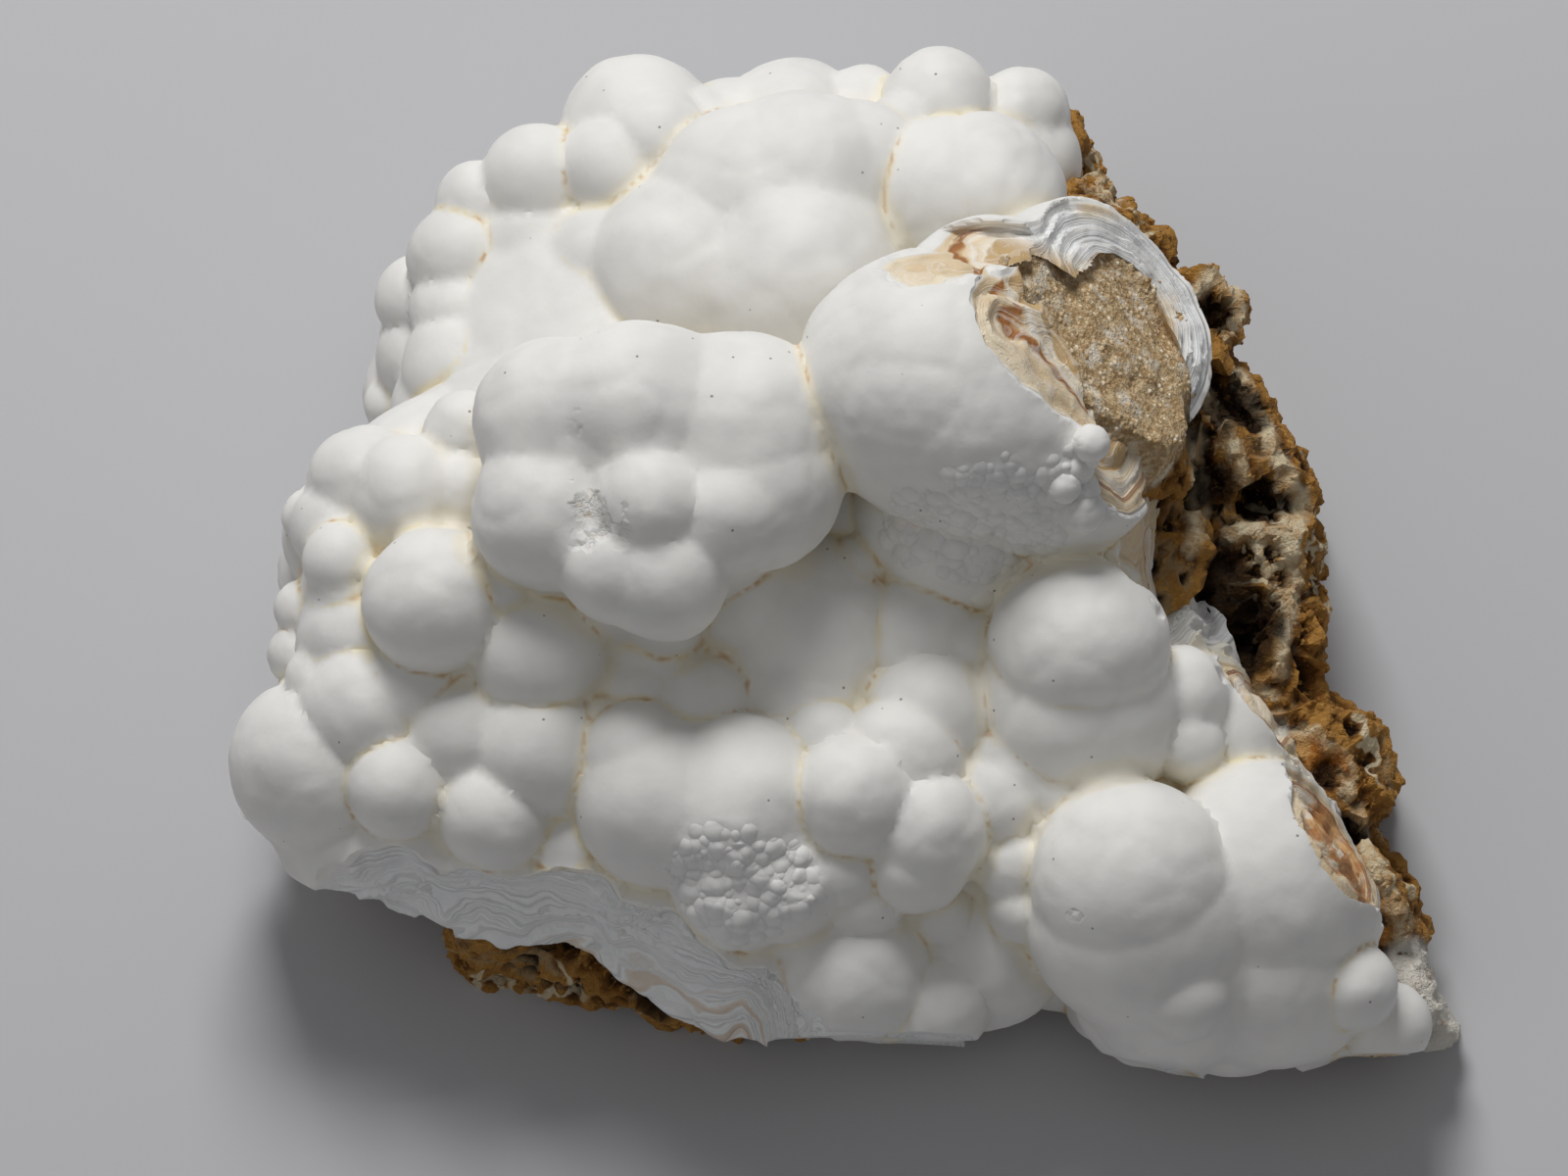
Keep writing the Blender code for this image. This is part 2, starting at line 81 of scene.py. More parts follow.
# Each lobe: across, up, how far its nearest point stands out, radius. Lobes of one group
# swell into each other, and groups meet in a sharp crease.
lobes = {
    "crownLeft": [(-15.2, 47.2, -14, 8.2), (-9.5, 46.0, -15, 6.2), (-13.4, 46.5, -11.5, 5.6),
                  (-17.8, 43.4, -11.0, 5.6)],
    "shoulderLeft": [(-25.6, 42.0, -13, 6.0), (-31.5, 39.6, -16, 4.8), (-25.5, 35.5, -13, 6.5),
                     (-24.5, 30.0, -14, 6.5)],
    "leftStack": [(-33.6, 34.4, -14, 5.4), (-33.3, 28.6, -13.5, 5.4), (-32.8, 22.6, -11, 6.8),
                  (-33.5, 18.0, -13, 7.5), (-27.4, 30.5, -14.5, 4.4), (-26.1, 25.8, -13, 5.6),
                  (-26.0, 21.0, -13, 6.5), (-37.3, 29.8, -20, 5.0), (-37.5, 24.0, -20, 5.0)],
    "leftFar": [(-41.0, 19.2, -24, 2.6)],
    "upperDome": [(-2.5, 34.5, -3.5, 15.2), (1.5, 31.3, 2, 11.2), (2.0, 41.5, -3.0, 9.4),
                  (-4.2, 40.5, -3.6, 9.0), (8.0, 43.0, -6.5, 7.0), (-10.0, 32.6, -1.5, 9.8),
                  (-19.0, 33.5, -9, 6.0)],
    "topMiddle": [(1.0, 46.7, -16, 8.5), (8.0, 49.2, -18, 5.2), (-5.0, 46.5, -17, 6.5)],
    "topRight": [(15.9, 50.0, -13, 6.0), (24.6, 49.0, -16, 5.2), (12.5, 47.5, -12, 4.0),
                 (24.0, 44.0, -15, 7.0)],
    "rightShoulder": [(16.3, 40.2, -4, 8.2), (21.0, 40.6, -4, 8.2)],
    "centreNodule": [(-13.5, 11.0, 22, 14.8), (-23.0, 17.0, 22, 8.6), (-14.5, 18.0, 25.0, 9.2),
                     (-4.8, 15.5, 24.5, 10.4), (-2.5, 10.0, 24, 8.2), (-24.0, 7.5, 23.5, 7.8),
                     (-13.7, 8.8, 27.2, 5.2), (-12.0, 1.0, 25.6, 6.4), (-17.2, 2.0, 24.5, 5.4),
                     (-5.5, 7.5, 25.6, 6.0)],
    "brokenNodule": [(14.7, 20.8, 27, 13.4), (19.2, 18.6, 26, 13.2), (31.0, 26.2, 14, 13.8),
                     (21.0, 27.0, 17, 10.6), (27.0, 14.8, 22.0, 12.0)],
    "underNodule": [(19.0, 9.2, 15, 12.5), (29.0, 6.0, 11, 9.0)],
    "rightBall": [(30.0, -6.0, 20, 9.2)],
    "underBall": [(29.8, -12.0, 17.6, 10.8), (40.0, -11.1, 11, 5.4), (40.7, -15.6, 11, 4.0),
                  (45.5, -14.5, 7, 8.0)],
    "bigRight": [(35.0, -29.5, 24, 10.2), (36.2, -33.5, 22, 11.8), (49.0, -30.0, 18, 12.6),
                 (49.0, -38.0, 15, 11.0), (40.0, -38.0, 17, 11.0), (40.4, -41.3, 19.2, 4.6),
                 (58.0, -40.9, 10, 4.2), (61.5, -44.6, 6, 4.4), (53.9, -43.2, 9, 4.2),
                 (46.0, -42.5, 8, 7.5), (37.0, -41.5, 9, 7.5)],
    "rightPearl": [(57.8, -40.4, 13.2, 4.6)],
    "rightMiddle": [(24.8, -18.4, 14, 9.0), (21.6, -21.6, 15, 5.2), (28.6, -19.7, 14, 7.0)],
    "rightSlip": [(23.5, -28.0, 14, 4.4), (24.5, -32.0, 13, 4.0)],
    "middleFlat": [(3.0, -4.5, 12, 11.0), (1.5, -12.5, 12, 7.5), (-4.2, 0.0, 12, 7.5)],
    "middleLeft": [(-13.5, -7.1, 11, 6.8), (-15.1, -11.5, 12, 5.2), (-8.7, -13.1, 13, 6.6)],
    "middleRight": [(14.8, -13.0, 15, 6.6), (13.6, -4.8, 11, 7.5), (7.0, 1.0, 9, 4.4),
                    (18.4, -6.4, 10, 4.8)],
    "lowerDome": [(-12.5, -21.5, 19, 8.8), (-4.5, -22.5, 20, 10.0), (-15.1, -16.5, 17, 5.2),
                  (0.2, -29.3, 18, 6.6), (6.0, -28.0, 17, 4.6), (-4.5, -30.0, 17.5, 6.8)],
    "lowerBalls": [(7.0, -21.2, 21, 6.4), (14.3, -24.5, 19.5, 6.4), (13.3, -27.0, 18, 6.0),
                   (12.0, -17.2, 17.5, 6.4), (4.0, -15.6, 15, 4.2)],
    "bottomLobes": [(6.8, -38.5, 14, 8.4), (7.6, -31.5, 15, 4.8), (3.1, -35.3, 12, 6.0),
                    (-0.4, -39.8, 10, 4.4), (3.1, -43.0, 9, 3.6)],
    "bottomRight": [(20.0, -36.0, 9, 9.4), (14.9, -42.0, 10, 6.4), (15.8, -33.1, 10.5, 3.6)],
    "lowSkirt": [(-45.0, -24.0, 5.0, 8.0), (-38.0, -27.0, 7.5, 8.5), (-29.0, -29.0, 8.5, 8.5),
                 (-20.0, -31.0, 10.5, 9.0), (-11.0, -36.0, 13.0, 9.0), (-3.0, -40.0, 11.0, 8.0)],
    "lowLeft": [(-47.8, -18.0, 9, 8.8), (-42.1, -12.4, 11, 7.4), (-47.5, -9.2, 6, 3.2)],
    "lowMiddle": [(-38.9, -20.0, 12.5, 5.4), (-29.3, -22.6, 13.5, 6.2), (-24.8, -16.2, 15, 7.6),
                  (-32.5, -14.6, 12.5, 6.6)],
    "lowChips": [(-17.5, -14.6, 13, 4.4), (-21.3, -25.8, 10.5, 5.4)],
    "leftBalls": [(-35.0, -1.2, 17, 7.6), (-24.8, -6.5, 16, 7.2)],
    "behindBalls": [(-29.3, 0.9, 15, 5.4), (-43.0, -4.9, 8, 6.6), (-37.3, -9.7, 11, 6.8),
                    (-49.2, -6.8, 1, 3.4)],
    "leftKnobs": [(-42.7, 10.5, 5, 6.2), (-38.2, 9.5, 9, 6.2), (-32.5, 15.9, 6, 4.4),
                  (-32.8, 9.5, 8, 4.6), (-48.6, 7.2, 0, 3.0), (-45.5, 6.0, 4.5, 5.2)],
    "leftPebbles": [(-45.2, 2.8, 8, 4.0), (-49.0, -2.0, 1, 3.2), (-44.3, -0.1, 7, 4.2)],
}

# Wide lumps that fill the body under the lobes.
bed = [(2, -8, 8, 16), (-30, -8, 8, 14), (-12, -12, 9, 14), (14, -22, 12, 14), (30, -20, 9, 14),
       (0, -30, 9, 12), (12, -34, 7, 12), (-36, 8, 1, 11), (-28, 30, -16, 10.5),
       (-20, 37, -16, 11), (5, 38, -12, 14), (18, 40, -11, 11), (20, 12, 10, 16),
       (45, -22, 5, 12), (36, 2, 4, 11), (-40, -12, 4, 9), (-25, -18, 8, 9), (-20, 8, 4, 18),
       (5, 12, 6, 15), (0, 25, -6, 18), (10, -18, -2, 20), (-22, -8, -2, 20),
       (-18, 22, -6, 20), (14, 24, -6, 20), (30, -28, 2, 16), (38, 0, -8, 17), (-5, 6, -2, 20),
       (34, -11, -1.5, 13), (-7, -26.5, -2.5, 9), (32, 23, -20, 9), (43, -36.5, -1, 8),
       (-35, -2, 6.8, 5)]
bare = [(42, 24, -12, 9), (46, 12, -10, 10), (47, 2, -9, 9), (49, -8, -6, 9), (55, -20, -4, 9),
        (59, -32, -1, 8), (63, -43, -1, 7), (33, 36, -14, 7), (27, 43, -22, 8),
        (-28, -30, 0, 9), (-18, -33, 1, 9), (-10, -37, 0, 9), (-2, -38, 0, 8), (-38, -24, -2, 8)]
core = [(28.6, 22.4, 17.0, 10.0), (34.5, 23.0, 11.0, 8.0), (33.5, 18.5, 14.0, 8.5),
        (23.5, 27.0, 17.5, 8.4)]

crust = {
    "voxel": 0.78,      # mm, mesh of the grown skin
    "bareFrom": 7.5,              # rock nearer the grown surface than this is not covered
    "overlap": 1.0,               # how far it reaches into the rock's rough surface
    "thick": 6.0,
    "thickOf": {"brokenNodule": 4.6, "underNodule": 4.0, "lowMiddle": 8.5, "lowLeft": 8.0,
                "lowChips": 8.0, "lowSkirt": 8.0, "lowerDome": 8.0, "bottomLobes": 7.0,
                "bigRight": 7.0},
    "bedThick": 3.0,
    "stalk": 0.88,               # under a filling lump, as a share of its radius
    "lobeStalk": 0.60,
    "relaxRounds": 3,
    "fillet": 0.55,               # mm, how softly groups meet
    "swellOf": {"centreNodule": 0.85, "upperDome": 0.8, "brokenNodule": 0.9, "bigRight": 0.45,
                "middleFlat": 0.6, "lowerDome": 0.5},
    "groove": 0.16,               # mm, depth of the thin line where lobes of a group meet
    "swell": 0.24,                # mm, how softly lobes of one group meet
    "dents": [(9.0, 0.34), (3.6, 0.11), (1.6, 0.035)],     # mm: grain, height
    "cobbles": [(9.5, 0.20), (4.6, 0.10)],                 # mm: size, height of faint lobes
    "knobs": (3.1, 0.42),        # mm: size and height of the lobes in the cobbled patches
    "foot": 6.9,                 # the crust ends about this far over the floor
    "flankGroups": ("lowLeft", "leftPebbles", "leftKnobs", "leftFar", "leftStack",
                    "shoulderLeft", "crownLeft", "topMiddle", "topRight"),
    "flankStep": 1.35,
    "flankRadius": 6.4,
}


def smoothNoise(points, grain, seed=0):
    # soft lumps of the given grain in millimetres, -1 to 1, the same each run
    spots = np.asarray(points, float) / grain + 31.7 * seed
    cell = np.floor(spots).astype(np.int64)
    part = spots - cell
    part = part * part * part * (part * (part * 6 - 15) + 10)
    total = np.zeros(len(spots))
    for corner in np.ndindex(2, 2, 2):
        x, y, z = (cell + corner).T
        mixed = (x * 73856093) ^ (y * 19349663) ^ (z * 83492791) ^ (seed * 2654435761)
        mixed = (mixed ^ (mixed >> 13)) * 1274126177 & 0xFFFFFFFF
        mixed = (mixed ^ (mixed >> 15)) * 2246822519 & 0xFFFFFFFF
        height = mixed / 0x7FFFFFFF - 1.0
        share = np.prod(np.where(corner, part, 1 - part), axis=1)
        total += height * share
    return total


def layered(points, layers, seed=0):
    # several grains of noise added up: (grain, height) in millimetres
    return sum(height * smoothNoise(points, grain, seed + step)
               for step, (grain, height) in enumerate(layers))


def cellular(points, grain, seed=0):
    # distance to the nearest and the next of one random spot per cell, and the nearest's number
    spots = np.asarray(points, float) / grain + 17.3 * seed
    cell = np.floor(spots).astype(np.int64)
    first, second = np.full(len(spots), 9.0), np.full(len(spots), 9.0)
    number = np.zeros(len(spots))
    for step in np.ndindex(3, 3, 3):
        other = cell + np.array(step) - 1
        mixed = (other[:, 0] * 73856093) ^ (other[:, 1] * 19349663) ^ (other[:, 2] * 83492791)
        mixed = (mixed ^ (seed * 2654435761)) * 1274126177 & 0xFFFFFFFFFFFF
        mixed = (mixed ^ (mixed >> 17)) * 2246822519 & 0xFFFFFFFFFFFF
        part = np.stack([(mixed >> shift & 0x3FF) / 1023 for shift in (8, 18, 28)], 1)
        away = np.linalg.norm(other + 0.12 + 0.76 * part - spots, axis=1)
        closer = away < first
        second = np.where(closer, first, np.minimum(second, away))
        number = np.where(closer, (mixed >> 38 & 0x3FF) / 1023, number)
        first = np.where(closer, away, first)
    return first * grain, second * grain, number


def easeIn(values, low, high):
    share = np.clip((values - low) / (high - low), 0, 1)
    return share * share * (3 - 2 * share)


def makeLumps(spots, shrink=0.0, stalk=crust["lobeStalk"], least=0.0):
    # centre, radius and stalk radius of each lump that is left after shrinking
    kept = []
    for across, up, front, radius in spots:
        if radius - shrink > least:
            centre = place((across, up, front - radius))
            kept.append((*centre, radius - shrink, (radius - shrink) * stalk))
    return np.array(kept).reshape(-1, 5)


def flankLumps(group):
    # lobes under those at the left and back edges, down the flank
    kept = []
    for across, up, front, radius in lobes[group]:
        top = place((across, up, front - radius))
        outwards = np.array([top[0], top[1], 0.0])
        outwards /= np.linalg.norm(outwards)
        height = top[2] - crust["flankStep"] * radius
        while height > 0:
            spot = np.array([[across, up, height]])
            wobble = float(smoothNoise(spot, 4.7, 3)[0]) * 0.6
            size = crust["flankRadius"] + 3.0 * wobble
            centre = top + outwards * (radius - size + 2.0 * wobble)
            kept.append((centre[0], centre[1], height, size, size * crust["lobeStalk"]))
            height -= crust["flankStep"] * size
    return np.array(kept).reshape(-1, 5)


crustGroups = [(makeLumps(spots), crust["swellOf"].get(group, crust["swell"]))
               for group, spots in lobes.items()]
crustGroups += [(flankLumps(name), 0.3) for name in crust["flankGroups"]]
crustGroups += [(makeLumps(bed, stalk=crust["stalk"]), 2.0)]


def groupField(points, lumps, swell):
    # distance to a group's surface, which way that grows, and how near its next lobe is
    away = points[:, None, :] - lumps[None, :, :3]
    far = np.sqrt((away ** 2).sum(2)) + 1e-9
    level = np.hypot(away[..., 0], away[..., 1]) + 1e-9
    ball = far - lumps[:, 3]
    post = np.where(away[..., 2] < 0, level - lumps[:, 4], 1e3)
    onPost = (post < ball)[..., None]
    gaps = np.minimum(ball, post)
    ways = np.where(onPost, away * (1, 1, 0) / level[..., None], away / far[..., None])
    least = gaps.min(1)
    shares = np.exp(-(gaps - least[:, None]) / swell)
    whole = shares.sum(1)
    field = least - swell * np.log(whole)
    way = (ways * shares[..., None]).sum(1) / whole[:, None]
    if gaps.shape[1] > 1:
        nextGap = np.partition(gaps, 1, axis=1)[:, 1] - least
    else:
        nextGap = np.full(len(points), 1e3)
    return field, way, nextGap


def crustField(points, reach=9.0):
    # the nearest two groups at each point: field, its direction and the lobe gap in the first
    count = len(points)
    best, second = np.full(count, 1e3), np.full(count, 1e3)
    wayBest, waySecond = np.zeros((count, 3)), np.zeros((count, 3))
    lobeGap = np.full(count, 1e3)
    for lumps, swell in crustGroups:
        low = (lumps[:, :3] - lumps[:, 3:4]).min(0) - reach
        high = (lumps[:, :3] + lumps[:, 3:4]).max(0) + reach
        low[2] = -20.0
        near = np.nonzero(((points > low) & (points < high)).all(1))[0]
        if not len(near):
            continue
        field, way, nextGap = groupField(points[near], lumps, swell)
        first = field < best[near]
        ahead, behind = near[first], near[~first]
        second[ahead], waySecond[ahead] = best[ahead], wayBest[ahead]
        best[ahead], wayBest[ahead], lobeGap[ahead] = field[first], way[first], nextGap[first]
        closer = field[~first] < second[behind]
        second[behind[closer]] = field[~first][closer]
        waySecond[behind[closer]] = way[~first][closer]
    return best, wayBest, second, waySecond, lobeGap


def unit(vectors):
    return vectors / (np.linalg.norm(vectors, axis=1, keepdims=True) + 1e-12)


def meshFrom(name, points, faces):
    mesh = bpy.data.meshes.new(name)
    mesh.vertices.add(len(points))
    mesh.vertices.foreach_set("co", (points * mm).ravel())
    mesh.loops.add(faces.size)
    mesh.loops.foreach_set("vertex_index", faces.ravel().astype(np.int32))
    mesh.polygons.add(len(faces))
    mesh.polygons.foreach_set("loop_start", np.arange(0, faces.size, faces.shape[1]))
    mesh.update(calc_edges=True)
    return mesh


def addObject(name, mesh):
    obj = bpy.data.objects.new(name, mesh)
    bpy.context.scene.collection.objects.link(obj)
    return obj


def pointsOf(mesh):
    values = np.empty(len(mesh.vertices) * 3)
    mesh.vertices.foreach_get("co", values)
    return values.reshape(-1, 3) / mm


def normalsOf(mesh):
    values = np.empty(len(mesh.vertices) * 3)
    mesh.vertices.foreach_get("normal", values)
    return values.reshape(-1, 3)


def setPoints(mesh, points):
    mesh.vertices.foreach_set("co", (points * mm).ravel())
    mesh.update()


def edgesOf(mesh):
    values = np.empty(len(mesh.edges) * 2, np.int32)
    mesh.edges.foreach_get("vertices", values)
    return values.reshape(-1, 2)


def modified(obj, kind, **settings):
    # runs one modifier and keeps its result as the object's mesh
    step = obj.modifiers.new(kind, kind)
    for key, value in settings.items():
        setattr(step, key, value)
    graph = bpy.context.evaluated_depsgraph_get()
    mesh = bpy.data.meshes.new_from_object(obj.evaluated_get(graph))
    obj.modifiers.clear()
    obj.data = mesh
    return obj


def remeshed(obj, voxel):
    return modified(obj, "REMESH", mode="VOXEL", voxel_size=voxel * mm)


def cutBy(obj, cutter):
    modified(obj, "BOOLEAN", operation="DIFFERENCE", solver="MANIFOLD", object=cutter)
    bpy.data.objects.remove(cutter)
    return obj


def triangulated(obj):
    return modified(obj, "TRIANGULATE", quad_method="BEAUTY")


def template(make, **settings):
    # points and triangles of a unit shape, to be copied many times
    bm = bmesh.new()
    make(bm, **settings)
    bmesh.ops.triangulate(bm, faces=bm.faces)
    points = np.array([vert.co[:] for vert in bm.verts])
    faces = np.array([[vert.index for vert in face.verts] for face in bm.faces])
    bm.free()
    return points, faces


fineBall = template(bmesh.ops.create_icosphere, subdivisions=4, radius=1.0)
smallBall = template(bmesh.ops.create_icosphere, subdivisions=3, radius=1.0)
stalkPost = template(bmesh.ops.create_cone, cap_ends=True, segments=32, radius1=1.0,
                     radius2=1.0, depth=1.0)


def lumpsObject(name, lumps, voxel):
    # balls with stalks under them, joined by a remesh
    points, faces, used = [], [], 0
    for x, y, z, radius, width in lumps:
        shapes = [(fineBall if radius > 9 else smallBall, (x, y, z), (radius,) * 3)]
        depth = z + 6.0
        if depth > 0:
            shapes.append((stalkPost, (x, y, z - depth / 2), (width, width, depth)))
        for (spots, corners), centre, scale in shapes:
            points.append(spots * scale + centre)
            faces.append(corners + used)
            used += len(spots)
    mesh = meshFrom(name, np.concatenate(points), np.concatenate(faces))
    return remeshed(addObject(name, mesh), voxel)


def roughened(obj, layers, seed=0):
    points = pointsOf(obj.data)
    lift = layered(points, layers, seed)
    setPoints(obj.data, points + normalsOf(obj.data) * lift[:, None])
    return obj


def keepLargest(obj):
    # loose crumbs that a cut leaves are dropped
    mesh = obj.data
    edges = edgesOf(mesh)
    label = np.arange(len(mesh.vertices))
    while True:
        low = np.minimum(label[edges[:, 0]], label[edges[:, 1]])
        before = label.copy()
        np.minimum.at(label, edges[:, 0], low)
        np.minimum.at(label, edges[:, 1], low)
        label = label[label]
        if (label == before).all():
            break
    kinds, counts = np.unique(label, return_counts=True)
    lost = np.nonzero(label != kinds[counts.argmax()])[0]
    if len(lost):
        bm = bmesh.new()
        bm.from_mesh(mesh)
        bm.verts.ensure_lookup_table()
        bmesh.ops.delete(bm, geom=[bm.verts[i] for i in lost], context="VERTS")
        bm.to_mesh(mesh)
        bm.free()
    return obj


def setAttribute(mesh, name, values):
    layer = mesh.attributes.get(name) or mesh.attributes.new(name, "FLOAT", "POINT")
    layer.data.foreach_set("value", values.astype(np.float32))


# Broken edges, as outlines: across, up, and the depth at which that point holds. With each,
# how far the edge moves outwards for every millimetre of depth.
rightBreak = {
    "outline": [(32.0, 60.0, 0), (32.8, 50.0, 0), (33.2, 41.0, 0), (40.0, 37.5, 2),
                (41.5, 33.0, 4), (41.0, 20.0, 5), (38.6, 4.0, 3), (40.2, -2.0, 2),
                (44.6, -9.5, 6), (53.5, -22.5, 10), (61.0, -35.5, 6), (66.5, -38.0, 3),
                (70.0, -50.0, 0), (84.0, -50.0, 0), (84.0, 60.0, 0)],
    "slope": (0.20, 0.08), "frontSlope": 0.9, "depths": (26.0, -40.0), "voxel": 0.5,
    "rough": [(8.0, 1.2), (3.5, 0.6), (1.4, 0.25)], "ledge": (1.8, 1.0),
}
lowBreak = {
    "outline": [(-66.0, -29.5, 2), (-56.0, -29.5, 2), (-50.0, -28.8, 3), (-44.5, -26.8, 5),
                (-38.5, -26.4, 7), (-31.0, -28.2, 8), (-27.7, -29.4, 8), (-23.0, -28.6, 9),
                (-18.0, -29.5, 10), (-14.3, -31.8, 11), (-8.3, -34.0, 14), (-4.0, -36.2, 14),
                (-1.0, -39.4, 10), (2.0, -42.0, 9), (5.0, -45.0, 8), (5.0, -66.0, 8),
                (-66.0, -66.0, 2)],
    "slope": (-0.15, -0.80), "frontSlope": 0.3, "depths": (24.0, -26.0), "voxel": 0.5,
    "rough": [(8.0, 0.9), (3.5, 0.5), (1.4, 0.2)], "ledge": (1.3, 0.7),
}
underBreak = {
    "outline": [(-66.0, -25.5, 0), (-50.0, -26.5, 0), (-44.0, -29.0, 0), (-35.7, -31.5, 0),
                (-29.3, -34.0, 0), (-23.6, -36.0, 0), (-21.3, -35.2, 0), (-18.0, -36.9, 0),
                (-13.4, -39.8, 0), (-8.7, -43.1, 0), (-4.0, -44.6, 0), (5.0, -45.2, 0),
                (5.0, -66.0, 0), (-66.0, -66.0, 0)],
    "slope": (0.10, 0.30), "depths": (0.0, -40.0), "voxel": 0.8,
    "rough": [(8.0, 1.0), (3.0, 0.4)],
}
footBreak = {
    "outline": [(-2.0, -44.8, 8), (14.0, -45.2, 8), (30.0, -46.0, 8), (36.0, -47.6, 8),
                (44.0, -49.2, 8), (51.0, -49.2, 8), (57.0, -47.0, 5), (75.0, -46.8, 5),
                (75.0, -66.0, 5), (-2.0, -66.0, 8)],
    "slope": (0.0, -0.12), "depths": (26.0, -40.0), "voxel": 0.8,
    "rough": [(9.0, 0.5), (3.0, 0.15)],
}
noduleBreak = {
    "middle": (30.5, 25.0, 10.4), "slab": (64.0, 24.0),      # the two big cuts: width, depth
    "sideDepth": 16.0,            # of the three small ones
    "point": (18.5, 30.0, 22.7), "facing": (0.68, 0.50, 0.54),
    "topPoint": (15.7, 31.2, 23.0), "topFacing": (0.25, 0.80, 0.545),
    "leftPoint": (13.0, 31.4, 19.6), "leftFacing": (0.05, 0.93, 0.36),
    "sidePoint": (29.7, 12.7, 20.1), "sideFacing": (0.85, 0.25, 0.46),
    "lowPoint": (34.0, 3.0, 9.0), "lowFacing": (0.93, 0.03, 0.36),
    "voxel": 0.5, "rough": [(6.0, 0.4), (2.4, 0.3), (1.1, 0.12)], "coreStep": 0.9,
    "ledge": (1.5, 0.9),
}
rightLimonite = {
    "outline": [(28.0, 60.0, -25), (32.0, 46.0, -25), (33.0, 41.0, -25), (36.5, 37.5, -20),
                (41.0, 34.5, -20), (43.0, 32.5, -20), (48.0, 30.0, -20), (45.5, 25.0, -20),
                (51.0, 17.0, -20), (54.5, 10.0, -20), (55.0, 5.5, -20), (53.0, 0.0, -20),
                (55.0, -3.0, -20), (53.5, -10.0, -20), (56.5, -13.5, -15),
                (61.0, -14.5, -15), (62.5, -18.5, -15), (60.0, -25.0, -15),
                (61.5, -29.0, -10), (65.0, -36.5, -5), (68.0, -46.0, -5),
                (84.0, -46.0, -5), (84.0, 60.0, -20)],
    "slope": (0.05, 0.0), "depths": (40.0, -70.0), "voxel": 1.2, "rough": [(9.0, 1.2), (3.5, 0.8)],
}
lowLimonite = {
    "outline": [(-66.0, -26.0, -5), (-46.0, -27.5, -5), (-35.0, -31.5, -5), (-33.0, -38.0, -5),
                (-29.0, -40.4, -5), (-17.5, -41.6, -5), (-13.4, -44.2, -5), (-9.0, -45.2, -5),
                (10.0, -45.6, -5), (30.0, -46.0, -5), (50.0, -48.0, -5), (72.0, -46.5, -5),
                (72.0, -66.0, -5), (-66.0, -66.0, -5)],
    "slope": (0.0, -0.12), "depths": (40.0, -50.0), "voxel": 1.2, "rough": [(9.0, 1.2), (3.5, 0.8)],
}


def layerAt(points, growth):
    # depth of the layers: under the grown skin, and along the low break under its front edge
    spots = unplace(points)
    outline = np.array([(across, out) for across, _, out in lowBreak["outline"][:15]])
    edge = np.interp(spots[:, 0], outline[:, 0], outline[:, 1])
    below = easeIn(-spots[:, 1], 22, 26) * (1 - easeIn(spots[:, 0], -2, 4))
    along = 0.35 * growth + 0.62 * np.clip(edge + 2.0 - spots[:, 2], 0, 20)
    return growth * (1 - below) + along * below


def ledged(obj, thick, height):
    # a cutter's face stepped where it crosses the crust, so that each layer breaks at a ledge
    points = pointsOf(obj.data)
    growth = np.clip(-crustField(points)[0], 0, 30)
    part = (layerAt(points, growth) + 0.5 * smoothNoise(points, 4.0, 23)) / thick % 1.0
    rise = np.where(part < 0.78, part / 0.78, (1 - part) / 0.22) - 0.5
    rise *= (growth > 0) * (0.6 + 0.6 * smoothNoise(points, 6.0, 24))
    setPoints(obj.data, points + normalsOf(obj.data) * (rise * height)[:, None])
    return obj


def prism(name, shape):
    # a rough block over an outline, its sides sloping with depth
    bm = bmesh.new()
    rings = []
    front, back = shape["depths"]
    for step in range(3):
        ring = []
        for across, up, depth in shape["outline"]:
            out = (front, min(depth, front - 1), back)[step]
            share = (shape.get("frontSlope", 1.0), 0.0, 1.0)[step]
            shift = np.array(shape["slope"]) * (depth - out) * share
            spot = place((across + shift[0], up + shift[1], out))
            ring.append(bm.verts.new(Vector(spot) * mm))
        rings.append(ring)
    bm.faces.new(rings[0])
    bm.faces.new(reversed(rings[2]))
    for upper, lower in zip(rings, rings[1:]):
        for step in range(len(upper)):
            after = (step + 1) % len(upper)
            bm.faces.new((upper[after], upper[step], lower[step], lower[after]))
    bmesh.ops.recalc_face_normals(bm, faces=bm.faces)
    mesh = bpy.data.meshes.new(name)
    bm.to_mesh(mesh)
    bm.free()
    voxel = shape["voxel"] * 1.0
    obj = roughened(remeshed(addObject(name, mesh), voxel), shape["rough"], len(name))
    return ledged(obj, *shape["ledge"]) if "ledge" in shape else obj


def slab(name, point, facing, size, thick, voxel=None, rough=None):
    # a block whose one face lies on a plane, filling the side that it faces
    facing = Vector(facing)
    middle = Vector(point) * mm + facing * thick * mm / 2
    bm = bmesh.new()
    bmesh.ops.create_cube(bm, size=1.0, matrix=Matrix.Translation(middle)
                          @ facing.to_track_quat("Z", "Y").to_matrix().to_4x4()
                          @ Matrix.Diagonal((size * mm, size * mm, thick * mm, 1.0)))
    mesh = bpy.data.meshes.new(name)
    bm.to_mesh(mesh)
    bm.free()
    obj = addObject(name, mesh)
    if voxel:
        voxel *= 1.0
        roughened(remeshed(obj, voxel), rough, len(name))
    return obj


def breakSlab(name, point, facing, deeper=0.0):
    # the rough plane that the nodule broke along, its middle near the nodule
    point = place(noduleBreak[point])
    facing = turned(noduleBreak[facing])
    middle = place(noduleBreak["middle"])
    middle = middle - facing * (np.dot(middle - point, facing) + deeper)
    obj = slab(name, middle, facing, *noduleBreak["slab"], noduleBreak["voxel"],
               noduleBreak["rough"])
    return ledged(obj, *noduleBreak["ledge"]) if deeper == 0 else obj


